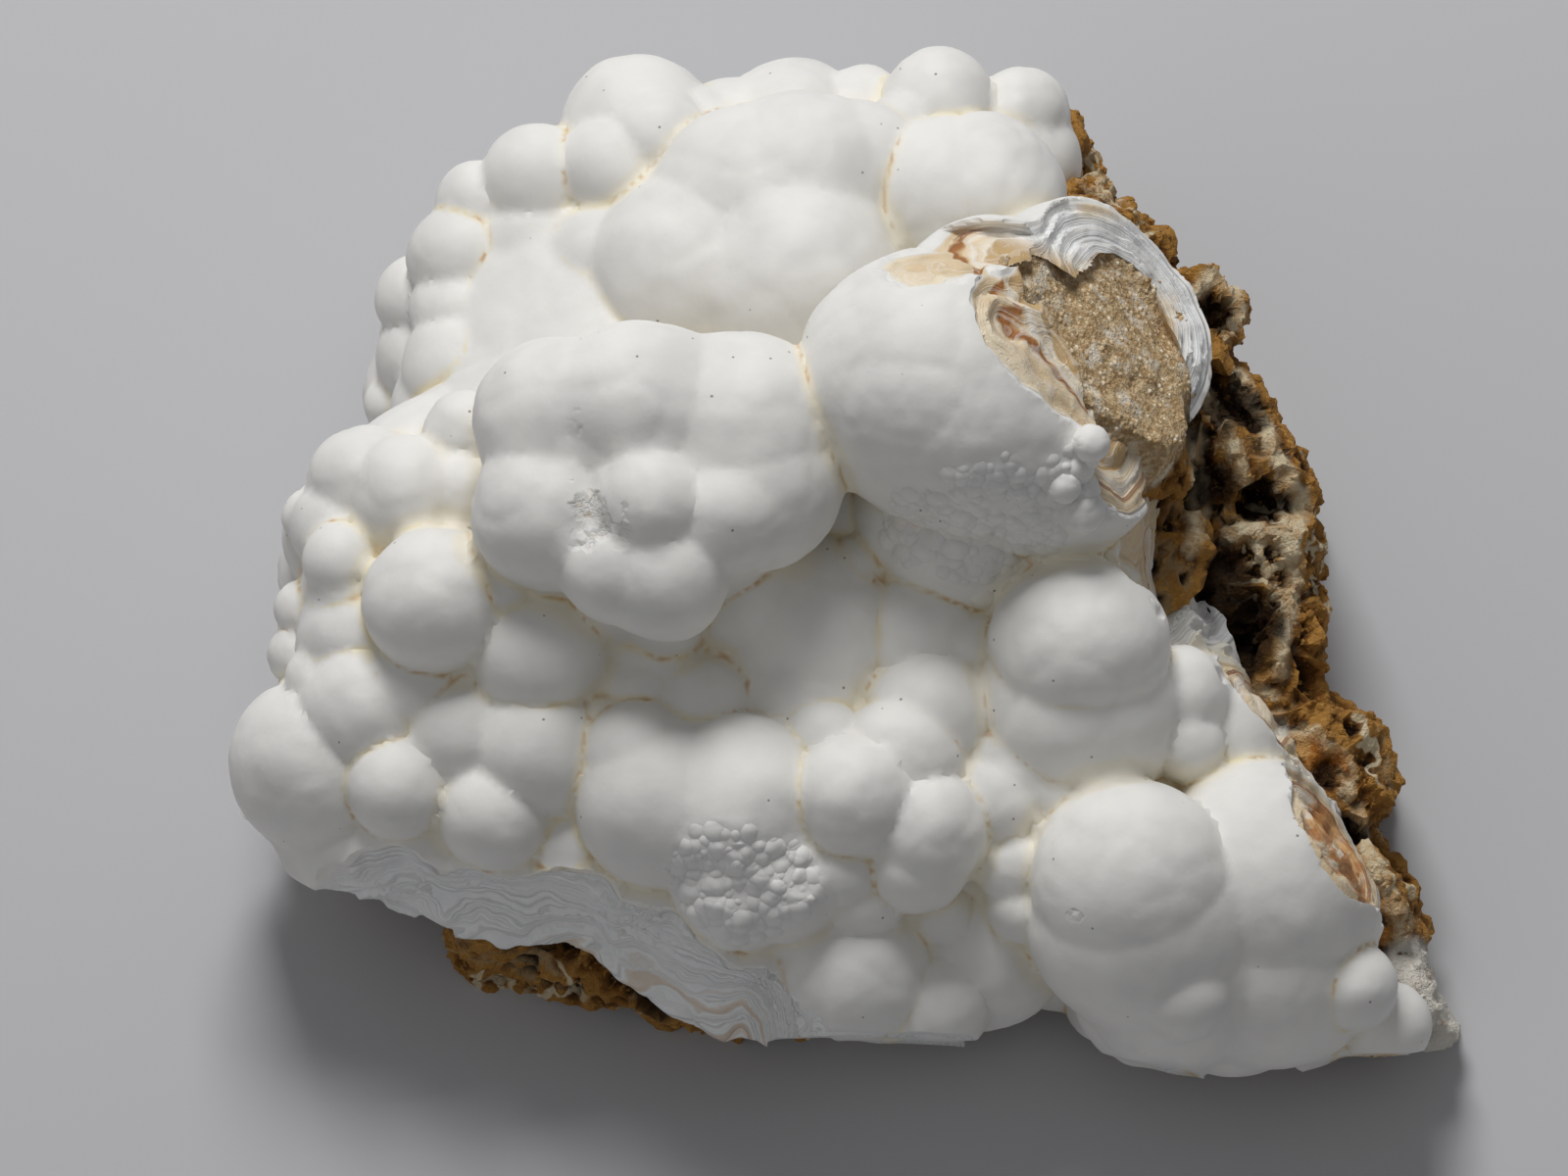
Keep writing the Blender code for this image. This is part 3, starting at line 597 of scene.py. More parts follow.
def sideSlab(name, point, facing, over, size):
    # a small one over the nodule's edge, where it broke off more steeply
    point = place(noduleBreak[point])
    facing = turned(noduleBreak[facing])
    middle = place(over)
    middle = middle - facing * np.dot(middle - point, facing)
    obj = slab(name, middle, facing, size, noduleBreak["sideDepth"], noduleBreak["voxel"],
               noduleBreak["rough"])
    return ledged(obj, *noduleBreak["ledge"])


def matrixLumps(withCore):
    # the lobes less the crust on them, the filling and the bare lumps
    lumps = [makeLumps(spots, crust["thickOf"].get(group, crust["thick"]), least=1.5)
             for group, spots in lobes.items()]
    lumps.append(makeLumps(bed, crust["bedThick"], crust["stalk"]))
    lumps.append(makeLumps(bare, stalk=crust["stalk"]))
    if withCore:
        lumps.append(makeLumps(core, stalk=crust["stalk"]))
    return np.concatenate(lumps)


def drawnOnto(points, steps):
    # moved along the field's own slope until they lie on the grown surface
    for _ in range(steps):
        best, wayBest, second, waySecond, _ = crustField(points)
        # narrow gaps between facing walls are filled, open folds stay crisp
        against = np.clip(-(unit(wayBest) * unit(waySecond)).sum(1), 0, 1)
        fillet = crust["fillet"] * (1 + 4.0 * against)
        near = np.clip(1 - (second - best) / fillet, 0, 1)
        field = best - near * near * fillet / 4
        way = wayBest * (1 - near / 2)[:, None] + waySecond * (near / 2)[:, None]
        step = np.clip(field, -0.8, 0.8) / ((way ** 2).sum(1) + 0.1)
        points = points - way * step[:, None]
    return points


def relaxed(points, edges, share):
    # each point moved towards the middle of those it is joined to
    count = np.bincount(edges.ravel(), minlength=len(points))
    total = np.empty_like(points)
    for axis in range(3):
        total[:, axis] = (np.bincount(edges[:, 0], points[edges[:, 1], axis], len(points))
                          + np.bincount(edges[:, 1], points[edges[:, 0], axis], len(points)))
    middle = total / np.maximum(count, 1)[:, None]
    return points + (middle - points) * share


def cobbledShare(points):
    # 1 where the skin is covered with little knobs, fading out at the edges of such a patch
    spots = unplace(points)
    share = np.zeros(len(points))
    for across, up, size in cobbledPatches:
        away = np.hypot(spots[:, 0] - across, spots[:, 1] - up) / size
        share = np.maximum(share, 1 - easeIn(away, 0.65, 1.1))
    onBall = np.hypot(spots[:, 0] - 30.0, spots[:, 1] + 6.0) < 10.0
    return share * (spots[:, 2] > 3.0) * ~onBall


def makeSkin():
    # the grown outside of the crust: remeshed balls, drawn onto the exact lobes
    lumps = np.concatenate([lumps for lumps, _ in crustGroups])
    obj = lumpsObject("crustSkin", lumps, crust["voxel"])
    points = pointsOf(obj.data)
    edges = edgesOf(obj.data)
    points = drawnOnto(points, 2)
    for _ in range(crust["relaxRounds"]):
        points = drawnOnto(relaxed(points, edges, 0.5), 1)
    points = drawnOnto(points, 1)
    setPoints(obj.data, points)
    lift = layered(points, crust["dents"], 5)
    lift -= crust["groove"] * np.exp(-crustField(points)[4] / 0.35)
    for step, (grain, height) in enumerate(crust["cobbles"]):
        bent = points + 0.25 * grain * np.stack([smoothNoise(points, grain, 40 + step),
                                                 smoothNoise(points, grain, 50 + step),
                                                 smoothNoise(points, grain, 60 + step)], 1)
        first, second, _ = cellular(bent, grain, 7 + step)
        dome = 1 - np.exp(-(second - first) / (0.16 * grain))
        share = easeIn(smoothNoise(points, 3.0 * grain, 70 + step), -0.25, 0.25)
        lift += (dome - 0.7) * height * share
    first, second, number = cellular(points, crust["knobs"][0], 19)
    dome = 1 - np.exp(-(second - first) / 0.9)
    lift += cobbledShare(points) * (dome - 0.4) * (0.5 + number) * crust["knobs"][1]
    setPoints(obj.data, points + normalsOf(obj.data) * lift[:, None])
    return obj


def makeCrust():
    obj = makeSkin()
    print("crust skin:", len(obj.data.polygons), "triangles")
    cutBy(obj, breakSlab("noduleCut", "point", "facing"))
    cutBy(obj, breakSlab("noduleTopCut", "topPoint", "topFacing"))
    cutBy(obj, sideSlab("noduleLeftCut", "leftPoint", "leftFacing", (15.5, 33.0, 19.0), 24.0))
    cutBy(obj, sideSlab("noduleSideCut", "sidePoint", "sideFacing", (37.0, 10.5, 12.0), 22.0))
    cutBy(obj, sideSlab("noduleLowCut", "lowPoint", "lowFacing", (37.0, 4.5, 3.0), 17.0))
    for name, shape in (("rightCut", rightBreak), ("lowCut", lowBreak),
                        ("underCut", underBreak), ("footCut", footBreak)):
        cutBy(obj, prism(name, shape))
    cutBy(obj, slab("crustFoot", (0, 0, crust["foot"]), (0, 0, -1), 150.0, 24.0, 1.4,
                    [(16.0, 4.0), (6.0, 1.5), (2.5, 0.4)]))
    inside = matrixLumps(True)
    inside[:, 3] -= crust["overlap"]
    hollow = roughened(lumpsObject("crustHollow", inside, 1.5), [(7.0, 0.6)], 4)
    cutBy(obj, hollow)
    keepLargest(triangulated(obj))
    print("crust cut:", len(obj.data.polygons), "triangles")
    return obj


# The brown limonite under the crust, standing on its flat cut.
rock = {
    "voxel": 0.66,                # of the remesh; shows as the grain of the rock
    "ridges": [(5.0, 0.8), (2.4, 0.45), (1.3, 0.22)],      # mm: grain, height
    "pits": [(6.0, 2.2, 2.6, 0.45), (3.2, 1.2, 1.3, 0.45)],  # mm: spacing, depth, radius, share
    "chips": [(4.2, 0.50), (2.0, 0.30)],                   # mm: size, step between them
    "veinWidth": 0.9, "veinHeight": 0.8,
    "gap": 0.5,                   # between it and the crust
    "hollows": [                  # across, up, out of the middle, radius
        (44.6, 0.8, -8.0, 4.2), (46.8, -5.0, -8.5, 4.8), (43.6, 17.0, -8.0, 2.8),
        (43.8, 10.5, -9.0, 2.8), (43.8, 28.0, -15.0, 2.4), (58.5, -20.5, -9.0, 2.2),
        (47.5, 19.0, -14.0, 3.2), (49.0, 9.0, -13.0, 2.6), (54.5, -19.5, -8.0, 3.0),
        (57.5, -26.0, -7.0, 2.6), (-24.0, -38.0, -2.0, 2.6), (-13.0, -42.0, -2.5, 2.4)],
}


def alongLines(points, lines, width):
    # 1 on lines drawn in the photograph's plane, falling to 0 at their width
    spots = unplace(points)[:, :2]
    spots = spots + 0.5 * np.stack([smoothNoise(points, 2.4, 130), smoothNoise(points, 2.4, 131)], 1)
    least = np.full(len(points), 1e3)
    for line in lines:
        for start, end in zip(line, line[1:]):
            start, along = np.array(start, float), np.subtract(end, start)
            share = np.clip((spots - start) @ along / (along @ along), 0, 1)
            gap = spots - start - share[:, None] * along
            least = np.minimum(least, np.linalg.norm(gap, axis=1))
    return 1 - easeIn(least, 0.5 * width, width)


def patchShare(points, patches):
    # 1 inside round patches given as across, up, radius, soft at their edges
    spots = unplace(points)
    share = np.zeros(len(points))
    for across, up, size in patches:
        near = np.hypot(spots[:, 0] - across, spots[:, 1] - up) / size
        share = np.maximum(share, 1 - easeIn(near, 0.6, 1.15))
    return share


def makeRock():
    lumps = matrixLumps(True)
    lumps[:, 3] -= rock["gap"]
    voxel = rock["voxel"] * 1.0
    obj = roughened(lumpsObject("limoniteRock", lumps, 1.2), [(7.0, 1.3)], 9)
    cutBy(obj, breakSlab("coreCut", "point", "facing", noduleBreak["coreStep"]))
    cutBy(obj, breakSlab("coreTopCut", "topPoint", "topFacing", noduleBreak["coreStep"]))
    cutBy(obj, prism("rightRock", rightLimonite))
    cutBy(obj, prism("lowRock", lowLimonite))
    for across, up, out, radius in rock["hollows"]:
        spot = place((across, up, out))
        points, faces = fineBall
        ball = addObject("hollow", meshFrom("hollow", points * radius + spot, faces))
        cutBy(obj, roughened(ball, [(3.0, 1.6), (1.1, 0.4)]))
    cutBy(obj, slab("restingCut", (0, 0, -1.5), (0, 0, -1), 150.0, 24.0))
    remeshed(obj, voxel)
    points = pointsOf(obj.data)
    bare = easeIn(crustField(points)[0], -crust["bareFrom"], 1.5 - crust["bareFrom"])
    sandy = 1 - easeIn(coreDistance(points), 0.3, 1.2)
    lift = np.zeros(len(points))
    for step, (grain, depth, wide, chosen) in enumerate(rock["pits"]):
        bent = points + 0.5 * wide * np.stack([smoothNoise(points, wide * 1.5, 80 + step),
                                               smoothNoise(points, wide * 1.5, 90 + step),
                                               smoothNoise(points, wide * 1.5, 95 + step)], 1)
        first, _, number = cellular(bent, grain, 11 + step)
        lift -= depth * (1 - easeIn(first, 0.45 * wide, wide)) * (number < chosen)
    veins = alongLines(points, veinLines, rock["veinWidth"])
    lift = lift * (1 - veins) + rock["veinHeight"] * veins
    for step, (grain, height) in enumerate(rock["chips"]):
        bent = points + 0.6 * np.stack([smoothNoise(points, 2.0, 100 + step),
                                        smoothNoise(points, 2.0, 110 + step),
                                        smoothNoise(points, 2.0, 120 + step)], 1)
        lift += height * (2 * cellular(bent, grain, 15 + step)[2] - 1) * (1 - 0.7 * veins)
    ridged = sum(height * (1 - 2.4 * np.abs(smoothNoise(points, grain, 31 + step)))
                 for step, (grain, height) in enumerate(rock["ridges"]))
    smoother = np.maximum(sandy, 0.7 * patchShare(points, glassyPatches + chalkPatches))
    lift = (lift + ridged) * (1 - 0.8 * smoother) + layered(points, [(1.5, 0.25)], 3) * sandy
    setPoints(obj.data, points + normalsOf(obj.data) * (lift * bare)[:, None])
    cutBy(obj, slab("floorCut", (0, 0, 0), (0, 0, -1), 150.0, 24.0))
    keepLargest(obj)
    modified(obj, "TRIANGULATE", quad_method="FIXED")
    print("rock:", len(obj.data.polygons), "triangles")
    return obj


def coreDistance(points):
    # how far each point is from the nodule's sandy core
    away = np.full(len(points), 9.0)
    for x, y, z, radius, _ in makeLumps(core):
        away = np.minimum(away, np.linalg.norm(points - (x, y, z), axis=1) - radius)
    return away


def paintCrust(obj):
    # what the shader needs to know at each point of the crust
    mesh = obj.data
    points = pointsOf(mesh)
    best, way, second, _, lobeGap = crustField(points)
    growth = np.clip(-best, 0, 20)
    setAttribute(mesh, "growth", growth)
    spots = unplace(points)
    setAttribute(mesh, "layer", layerAt(points, growth))
    setAttribute(mesh, "sandy", coreDistance(points))
    cobbled = cobbledShare(points) * (growth < 0.6)
    side = np.hypot((spots[:, 0] - 36.0) / 7.0, (spots[:, 1] - 9.0) / 11.0)
    rim = easeIn(spots[:, 0] * 0.35 + spots[:, 1], 42.0, 45.0)
    setAttribute(mesh, "rim", np.maximum(rim, easeIn(spots[:, 0], 39.0, 41.0)))
    tanLayers = (1 - easeIn(side, 0.85, 1.0)) * (spots[:, 2] > 0)
    edge = easeIn(spots[:, 0], 40.0, 42.0) * (1 - easeIn(spots[:, 1], -8.0, -5.0))
    top = easeIn(spots[:, 0], 29.0, 31.0) * easeIn(spots[:, 1], 37.0, 39.0)
    setAttribute(mesh, "tanLayers", np.maximum(tanLayers, np.maximum(edge, top)))
    setAttribute(mesh, "cobbled", cobbled)
    setAttribute(mesh, "glassy", patchShare(points, glassyPatches) * easeIn(growth, 1.6, 2.2))
    seam = np.exp(-np.clip(second - best, 0, 9) / 0.9)
    fold = 0.55 * np.exp(-np.clip(lobeGap, 0, 9) / 0.7)
    shade = np.zeros(len(points))
    for reach, weight in ((1.2, 0.25), (3.0, 0.40), (6.5, 0.35)):
        outer = points + unit(way) * reach
        shade += weight * np.clip(1 - crustField(outer)[0] / reach, 0, 1)
    setAttribute(mesh, "seam", np.maximum(seam, fold) * easeIn(shade, 0.02, 0.30))
    setAttribute(mesh, "hollow", shade)
    worn = np.zeros(len(points))
    for across, up, size, strength in wornPatches:
        away = np.hypot(spots[:, 0] - across, spots[:, 1] - up) / size
        worn = np.maximum(worn, strength * (1 - easeIn(away, 0.35, 1.0)))
    ragged = 0.5 + 0.5 * layered(points, [(2.4, 0.8), (0.9, 0.6)], 21)
    setAttribute(mesh, "worn", worn * np.clip(ragged, 0, 1))


def paintRock(obj):
    mesh = obj.data
    points = pointsOf(mesh)
    smooth = points
    for _ in range(14):
        smooth = relaxed(smooth, edgesOf(mesh), 0.5)
    relief = ((points - smooth) * normalsOf(mesh)).sum(1)
    setAttribute(mesh, "relief", relief)
    field = crustField(points)[0]
    sandy = coreDistance(points)
    onBreak = np.zeros(len(points), bool)
    for point, facing in (("point", "facing"), ("topPoint", "topFacing")):
        height = (points - place(noduleBreak[point])) @ turned(noduleBreak[facing])
        onBreak |= np.abs(height + noduleBreak["coreStep"]) < 1.3
    sandy = np.where(onBreak & (sandy < 7.0), np.minimum(sandy, 0.2), sandy)
    setAttribute(mesh, "sandy", sandy)
    up = normalsOf(mesh) @ np.array(turned(noduleBreak["facing"]))
    setAttribute(mesh, "coreFace", (sandy < 0.8) * (up > 0.2) * 1.0)
    away = field > -crust["bareFrom"]
    for name, patches in (("pale", palePatches), ("glassy", glassyPatches),
                          ("chalk", chalkPatches)):
        setAttribute(mesh, name, patchShare(points, patches))
    setAttribute(mesh, "vein", alongLines(points, veinLines, rock["veinWidth"] * 1.2))
    # inside the cut holes the rock gets a near-black painted shade
    cave = np.zeros(len(points))
    for across, high, out, radius in rock["hollows"]:
        inside = np.linalg.norm(points - place((across, high, out)), axis=1) / radius
        cave = np.maximum(cave, 1 - easeIn(inside, 0.95, 1.25))
    setAttribute(mesh, "cave", cave)
    setAttribute(mesh, "bareRock", away * (sandy > 1.5) * (points[:, 2] > 1.5)
                 * (smoothNoise(points, 5.0, 51) > -0.1) * 1.0)


def linear(code):
    # an sRGB hex colour as linear red, green, blue, alpha
    parts = [int(code[step:step + 2], 16) / 255 for step in (1, 3, 5)]
    return [p / 12.92 if p <= 0.04045 else ((p + 0.055) / 1.055) ** 2.4 for p in parts] + [1.0]


def fillNode(tree, node, inputs):
    # links what comes from another node, and sets colours and numbers
    for key, value in inputs.items():
        if isinstance(value, bpy.types.NodeSocket):
            tree.links.new(value, node.inputs[key])
        elif isinstance(value, str):
            node.inputs[key].default_value = linear(value)
        else:
            node.inputs[key].default_value = value


def addNode(tree, kind, inputs, **settings):
    node = tree.nodes.new(kind)
    for key, value in settings.items():
        setattr(node, key, value)
    fillNode(tree, node, inputs)
    return node.outputs


def startMaterial(name, look):
    # a material with the attributes, noises and soft masks that the tables of its look name
    material = bpy.data.materials.new(name)
    material.use_nodes = True
    add = partial(addNode, material.node_tree)
    part = {"place": add("ShaderNodeTexCoord", {})["Object"]}
    for key in look["attributes"]:
        part[key] = add("ShaderNodeAttribute", {}, attribute_name=key)[2]
    masks = dict(look["masks"])
    for key, (grain, detail, rough, *ends) in look["noises"].items():
        part[key] = add("ShaderNodeTexNoise", {"Vector": part["place"], "Scale": 1000 / grain,
                                               "Detail": detail, "Roughness": rough})[0]
        if ends:
            masks[key] = (key, *ends)
    for key, (source, *ends) in masks.items():
        part[key] = add("ShaderNodeMapRange", {0: part[source], **dict(enumerate(ends, 1))},
                        interpolation_type="SMOOTHSTEP")[0]
    return material, add, part


def coated(add, colour, coats):
    # lays colours over one another, each by the product of its shares
    for over, share, *others in coats:
        for other in others:
            share = add("ShaderNodeMath", {0: share, 1: other}, operation="MULTIPLY")[0]
        colour = add("ShaderNodeMix", {0: share, 6: colour, 7: over}, data_type="RGBA")[2]
    return colour


# noises: size of a lump in millimetres, detail, roughness, then the values between which the
# mask rises from 0 to 1, or from the third to the fourth. masks: the same, of an attribute.
crustLook = {
    "skin": "#EDEBE6", "skinShade": "#E4E2DE",      # chalky porcelain white, slightly mottled
    "cream": "#E9DCB4", "stain": "#C08A45",         # in the folds, and deep in the seams
    "speck": "#5E4A38", "worn": "#B79E78",          # dust specks, and grey-brown worn spots
    "band": "#F4F4F2", "bandGrey": "#D6D6D3", "bandPeach": "#D9BFA2", "bandDeep": "#A9764A",
    "coreLayers": [(0.0, "#C8A878"), (0.07, "#EFE4CE"), (0.22, "#E6D2B2"), (0.34, "#F1E8DA"),
                   (0.45, "#E3CBA4"), (0.50, "#A8703C"), (0.55, "#96602F"), (0.59, "#E4D0AC"),
                   (0.74, "#DCC4A0"), (0.86, "#EFE2C8"), (0.95, "#F4F2EC")],
    "attributes": ("growth", "seam", "hollow", "worn", "layer", "sandy", "rim", "tanLayers",
                   "glassy", "cobbled"),
    "noises": {
        "mottled": (7.0, 3.0, 0.5, 0.35, 0.7), "creamy": (11.0, 2.0, 0.5, 0.42, 0.66, 0.14, 0.74),
        "stained": (5.0, 3.0, 0.5, 0.45, 0.62), "wornGrain": (0.9, 3.0, 0.5, 0.52, 0.62),
        "whiteBand": (6.0, 2.0, 0.5, 0.45, 0.65), "glassTint": (2.6, 3.0, 0.5, 0.46, 0.62),
        "glassBits": (3.4, 3.0, 0.5, 0.38, 0.44), "knobBits": (4.0, 1.0, 0.5, 0.35, 0.60),
        "wander": (5.0, 2.0, 0.5), "dimples": (2.2, 2.0, 0.5), "fineDimples": (0.5, 2.0, 0.5),
        "pits": (1.1, 4.0, 0.7), "ledges": (1.6, 4.0, 0.6),
    },
    "masks": {
        "seamSoft": ("seam", 0.30, 0.95), "seamDeep": ("seam", 0.55, 1.0),
        "hollowStain": ("hollow", 0.30, 0.55), "hollowCream": ("hollow", 0.42, 0.80),
        "wornDark": ("worn", 0.35, 0.8), "wornPits": ("worn", 0.3, 0.7),
        "section": ("growth", 0.45, 0.75),
    },
    "layerMasks": {
        "speckSmall": ("cellFar", 0.10, 0.05), "greyLine": ("line", 0.42, 0.64),
        "deepLine": ("line", 0.42, 0.55), "whiteLine": ("line", 0.50, 0.60),
        "peachLine": ("slowLine", 0.52, 0.62), "peachDepth": ("inner", 5.6, 8.4),
        "deepDepth": ("inner", 9.0, 10.4), "nearCore": ("around", 9.0, 7.5),
    },
    "cellSize": 1.9, "knobSize": 1.7, "rough": 0.62, "ior": 1.64,     # its index is 1.63 to 1.74
}


def hydrozinciteMaterial():
    # chalky white botryoidal skin as it grew, with the layered section on its broken faces
    look = crustLook
    material, add, part = startMaterial("hydrozinciteGrownAndBroken", look)

    # dust specks lie only where a cell's own random number is low
    cells = add("ShaderNodeTexVoronoi", {"Vector": part["place"], "Scale": 1000 / look["cellSize"]})
    chance = add("ShaderNodeSeparateColor", {"Color": cells["Color"]})[0]
    speck = add("ShaderNodeMath", {0: chance, 1: 0.16}, operation="LESS_THAN")[0]
    part["cellFar"] = cells["Distance"]

    # layers of the section: thin lines that follow the depth under the grown skin
    wander = add("ShaderNodeMath", {0: part["wander"], 1: 0.55, 2: -0.275},
                 operation="MULTIPLY_ADD")[0]
    depth = add("ShaderNodeMath", {0: part["layer"], 1: wander}, operation="ADD")[0]
    fast = add("ShaderNodeMath", {0: depth, 1: 3.4}, operation="MULTIPLY")[0]
    part["line"] = add("ShaderNodeTexNoise", {"W": fast, "Scale": 1.0, "Detail": 3.0,
                                              "Roughness": 0.7}, noise_dimensions="1D")[0]
    slow = add("ShaderNodeMath", {0: depth, 1: 1.3, 2: 17.0}, operation="MULTIPLY_ADD")[0]
    part["slowLine"] = add("ShaderNodeTexNoise", {"W": slow, "Scale": 1.0, "Detail": 2.0},
                           noise_dimensions="1D")[0]
    part["inner"] = add("ShaderNodeMath", {0: part["rim"], 1: 3.2, 2: depth},
                        operation="MULTIPLY_ADD")[0]
    around = add("ShaderNodeMath", {0: part["sandy"], 1: wander}, operation="ADD")[0]
    around = add("ShaderNodeMath", {0: around, 1: 0.0}, operation="MAXIMUM")[0]
    part["around"] = around
    for key, (source, low, high) in look["layerMasks"].items():
        part[key] = add("ShaderNodeMapRange", {0: part[source], 1: low, 2: high},
                        interpolation_type="SMOOTHSTEP")[0]

    colour = coated(add, look["skin"], [
        (look["skinShade"], part["mottled"]), (look["cream"], part["seamSoft"], part["creamy"]),
        (look["stain"], part["seamDeep"], part["hollowStain"], part["stained"], 0.85),
        (look["cream"], part["hollowCream"], 0.30),
        (look["speck"], speck, part["speckSmall"], 0.75),
        (look["worn"], part["wornDark"], part["wornGrain"], 0.55)])

    # round the sandy core the layers are tan: 0 at the core, 1 at the grown skin
    across = add("ShaderNodeMath", {0: around, 1: part["growth"]}, operation="ADD")[0]
    across = add("ShaderNodeMath", {0: across, 1: 0.4}, operation="ADD")[0]
    outwards = add("ShaderNodeMath", {0: around, 1: across}, operation="DIVIDE")[0]
    fromRock = add("ShaderNodeMath", {0: depth, 1: -0.24, 2: 1.0}, operation="MULTIPLY_ADD")[0]
    tanDepth = add("ShaderNodeMix", {0: part["tanLayers"], 2: outwards, 3: fromRock})[0]
    tan = add("ShaderNodeValToRGB", {0: tanDepth})[0]
    stops = tan.node.color_ramp.elements
    for step, (spot, code) in enumerate(look["coreLayers"]):
        stop = stops[step] if step < 2 else stops.new(spot)
        stop.position, stop.color = spot, linear(code)
    tan = coated(add, tan, [(look["band"], part["whiteLine"], 0.30)])
    offRim = add("ShaderNodeMath", {0: 1.0, 1: part["rim"]}, operation="SUBTRACT")[0]
    nearCore = add("ShaderNodeMath", {0: part["nearCore"], 1: offRim}, operation="MULTIPLY")[0]
    nearCore = add("ShaderNodeMath", {0: nearCore, 1: part["tanLayers"]}, operation="MAXIMUM")[0]
    glass = coated(add, rockLook["glass"], [(rockLook["glassPale"], part["glassTint"])])
    band = coated(add, look["band"], [
        (look["bandGrey"], part["greyLine"]), (look["band"], part["whiteBand"], 0.6),
        (look["bandPeach"], part["peachLine"], part["peachDepth"], 0.6),
        (look["bandDeep"], part["deepDepth"], part["deepLine"], 0.6), (tan, nearCore),
        (glass, part["glassy"], part["glassBits"], 0.9)])

    # relief too fine to model: dimples and cobbles of the skin, worn pits, ledges of the section
    fine = add("ShaderNodeMath", {0: part["fineDimples"], 1: 0.12}, operation="MULTIPLY")[0]
    dimples = add("ShaderNodeMath", {0: part["dimples"], 1: 0.55, 2: fine},
                  operation="MULTIPLY_ADD")[0]
    knobs = add("ShaderNodeTexVoronoi", {"Vector": part["place"], "Scale": 1000 / look["knobSize"]})
    knob = add("ShaderNodeMath", {0: knobs["Distance"], 1: 2.0}, operation="POWER")[0]
    knob = add("ShaderNodeMath", {0: 1.0, 1: knob}, operation="SUBTRACT")[0]
    knob = add("ShaderNodeMath", {0: knob, 1: part["cobbled"]}, operation="MULTIPLY")[0]
    knob = add("ShaderNodeMath", {0: knob, 1: part["knobBits"]}, operation="MULTIPLY")[0]
    pits = add("ShaderNodeMath", {0: part["wornPits"], 1: part["pits"]}, operation="MULTIPLY")[0]
    ledge = add("ShaderNodeMath", {0: part["ledges"], 1: 1.1, 2: part["line"]},
                operation="MULTIPLY_ADD")[0]
    ledge = add("ShaderNodeMath", {0: part["section"], 1: ledge}, operation="MULTIPLY")[0]
    under = {}
    for height, heightInMm in ((dimples, 0.10), (knob, 0.30), (pits, -0.55), (ledge, 0.25)):
        under["Normal"] = add("ShaderNodeBump", {"Height": height, "Strength": 1.0,
                                                 "Distance": heightInMm * mm, **under})[0]

    fillNode(material.node_tree, material.node_tree.nodes["Principled BSDF"], {
        "Base Color": coated(add, colour, [(band, part["section"])]), "Roughness": look["rough"],
        "IOR": look["ior"], "Specular IOR Level": 0.32, "Subsurface Weight": 0.12,
        "Subsurface Radius": (1.0, 0.85, 0.65), "Subsurface Scale": 1.2 * mm, **under})
    return material


rockLook = {
    # near-black is a painted shade on low points and in the cut holes; ridge ochre is partly a painted
    # highlight
    "ochre": "#94632A", "brown": "#5A3714", "paintedShadeDark": "#1E1008", "vein": "#E8D8B6",
    "tan": "#BFA47A", "ridge": "#B08040", "pink": "#CFB188", "glass": "#B5722A",
    "glassPale": "#DBA968", "chalk": "#E9E4D9", "speckle": "#D9A553",
    "sand": "#DFC69E", "sandDark": "#B5966C", "sandPale": "#EFE4D0",
    "attributes": ("relief", "sandy", "pale", "vein", "glassy", "chalk", "cave"),
    "noises": {
        "ochrePatches": (6.0, 4.0, 0.6, 0.38, 0.62), "tanPatches": (9.0, 3.0, 0.6, 0.52, 0.62),
        "speckles": (0.7, 3.0, 0.6, 0.55, 0.66), "veinPatches": (14.0, 1.0, 0.5, 0.48, 0.56),
        "paleBits": (2.6, 4.0, 0.6, 0.46, 0.54), "paleTint": (1.8, 3.0, 0.5, 0.45, 0.6),
        "glassBits": (3.0, 2.0, 0.5, 0.38, 0.46), "glassTint": (2.0, 3.0, 0.5, 0.40, 0.60),
        "chalkBits": (2.2, 3.0, 0.5, 0.30, 0.40), "paleSand": (3.5, 3.0, 0.5, 0.50, 0.66),
        "veinBends": (9.0, 3.0, 0.55), "grains": (0.8, 3.0, 0.7), "spongy": (1.3, 5.0, 0.7),
    },
    "masks": {
        # raised points turn ochre, partly a painted highlight; low points turn near-black, a painted
        # shade
        "ridges": ("relief", 0.05, 0.45), "lows": ("relief", 0.12, -0.50),
        "paleRaised": ("relief", -0.35, 0.05), "inCore": ("sandy", 1.4, 0.4),
    },
    "rough": 0.88, "glassRough": 0.33,
}


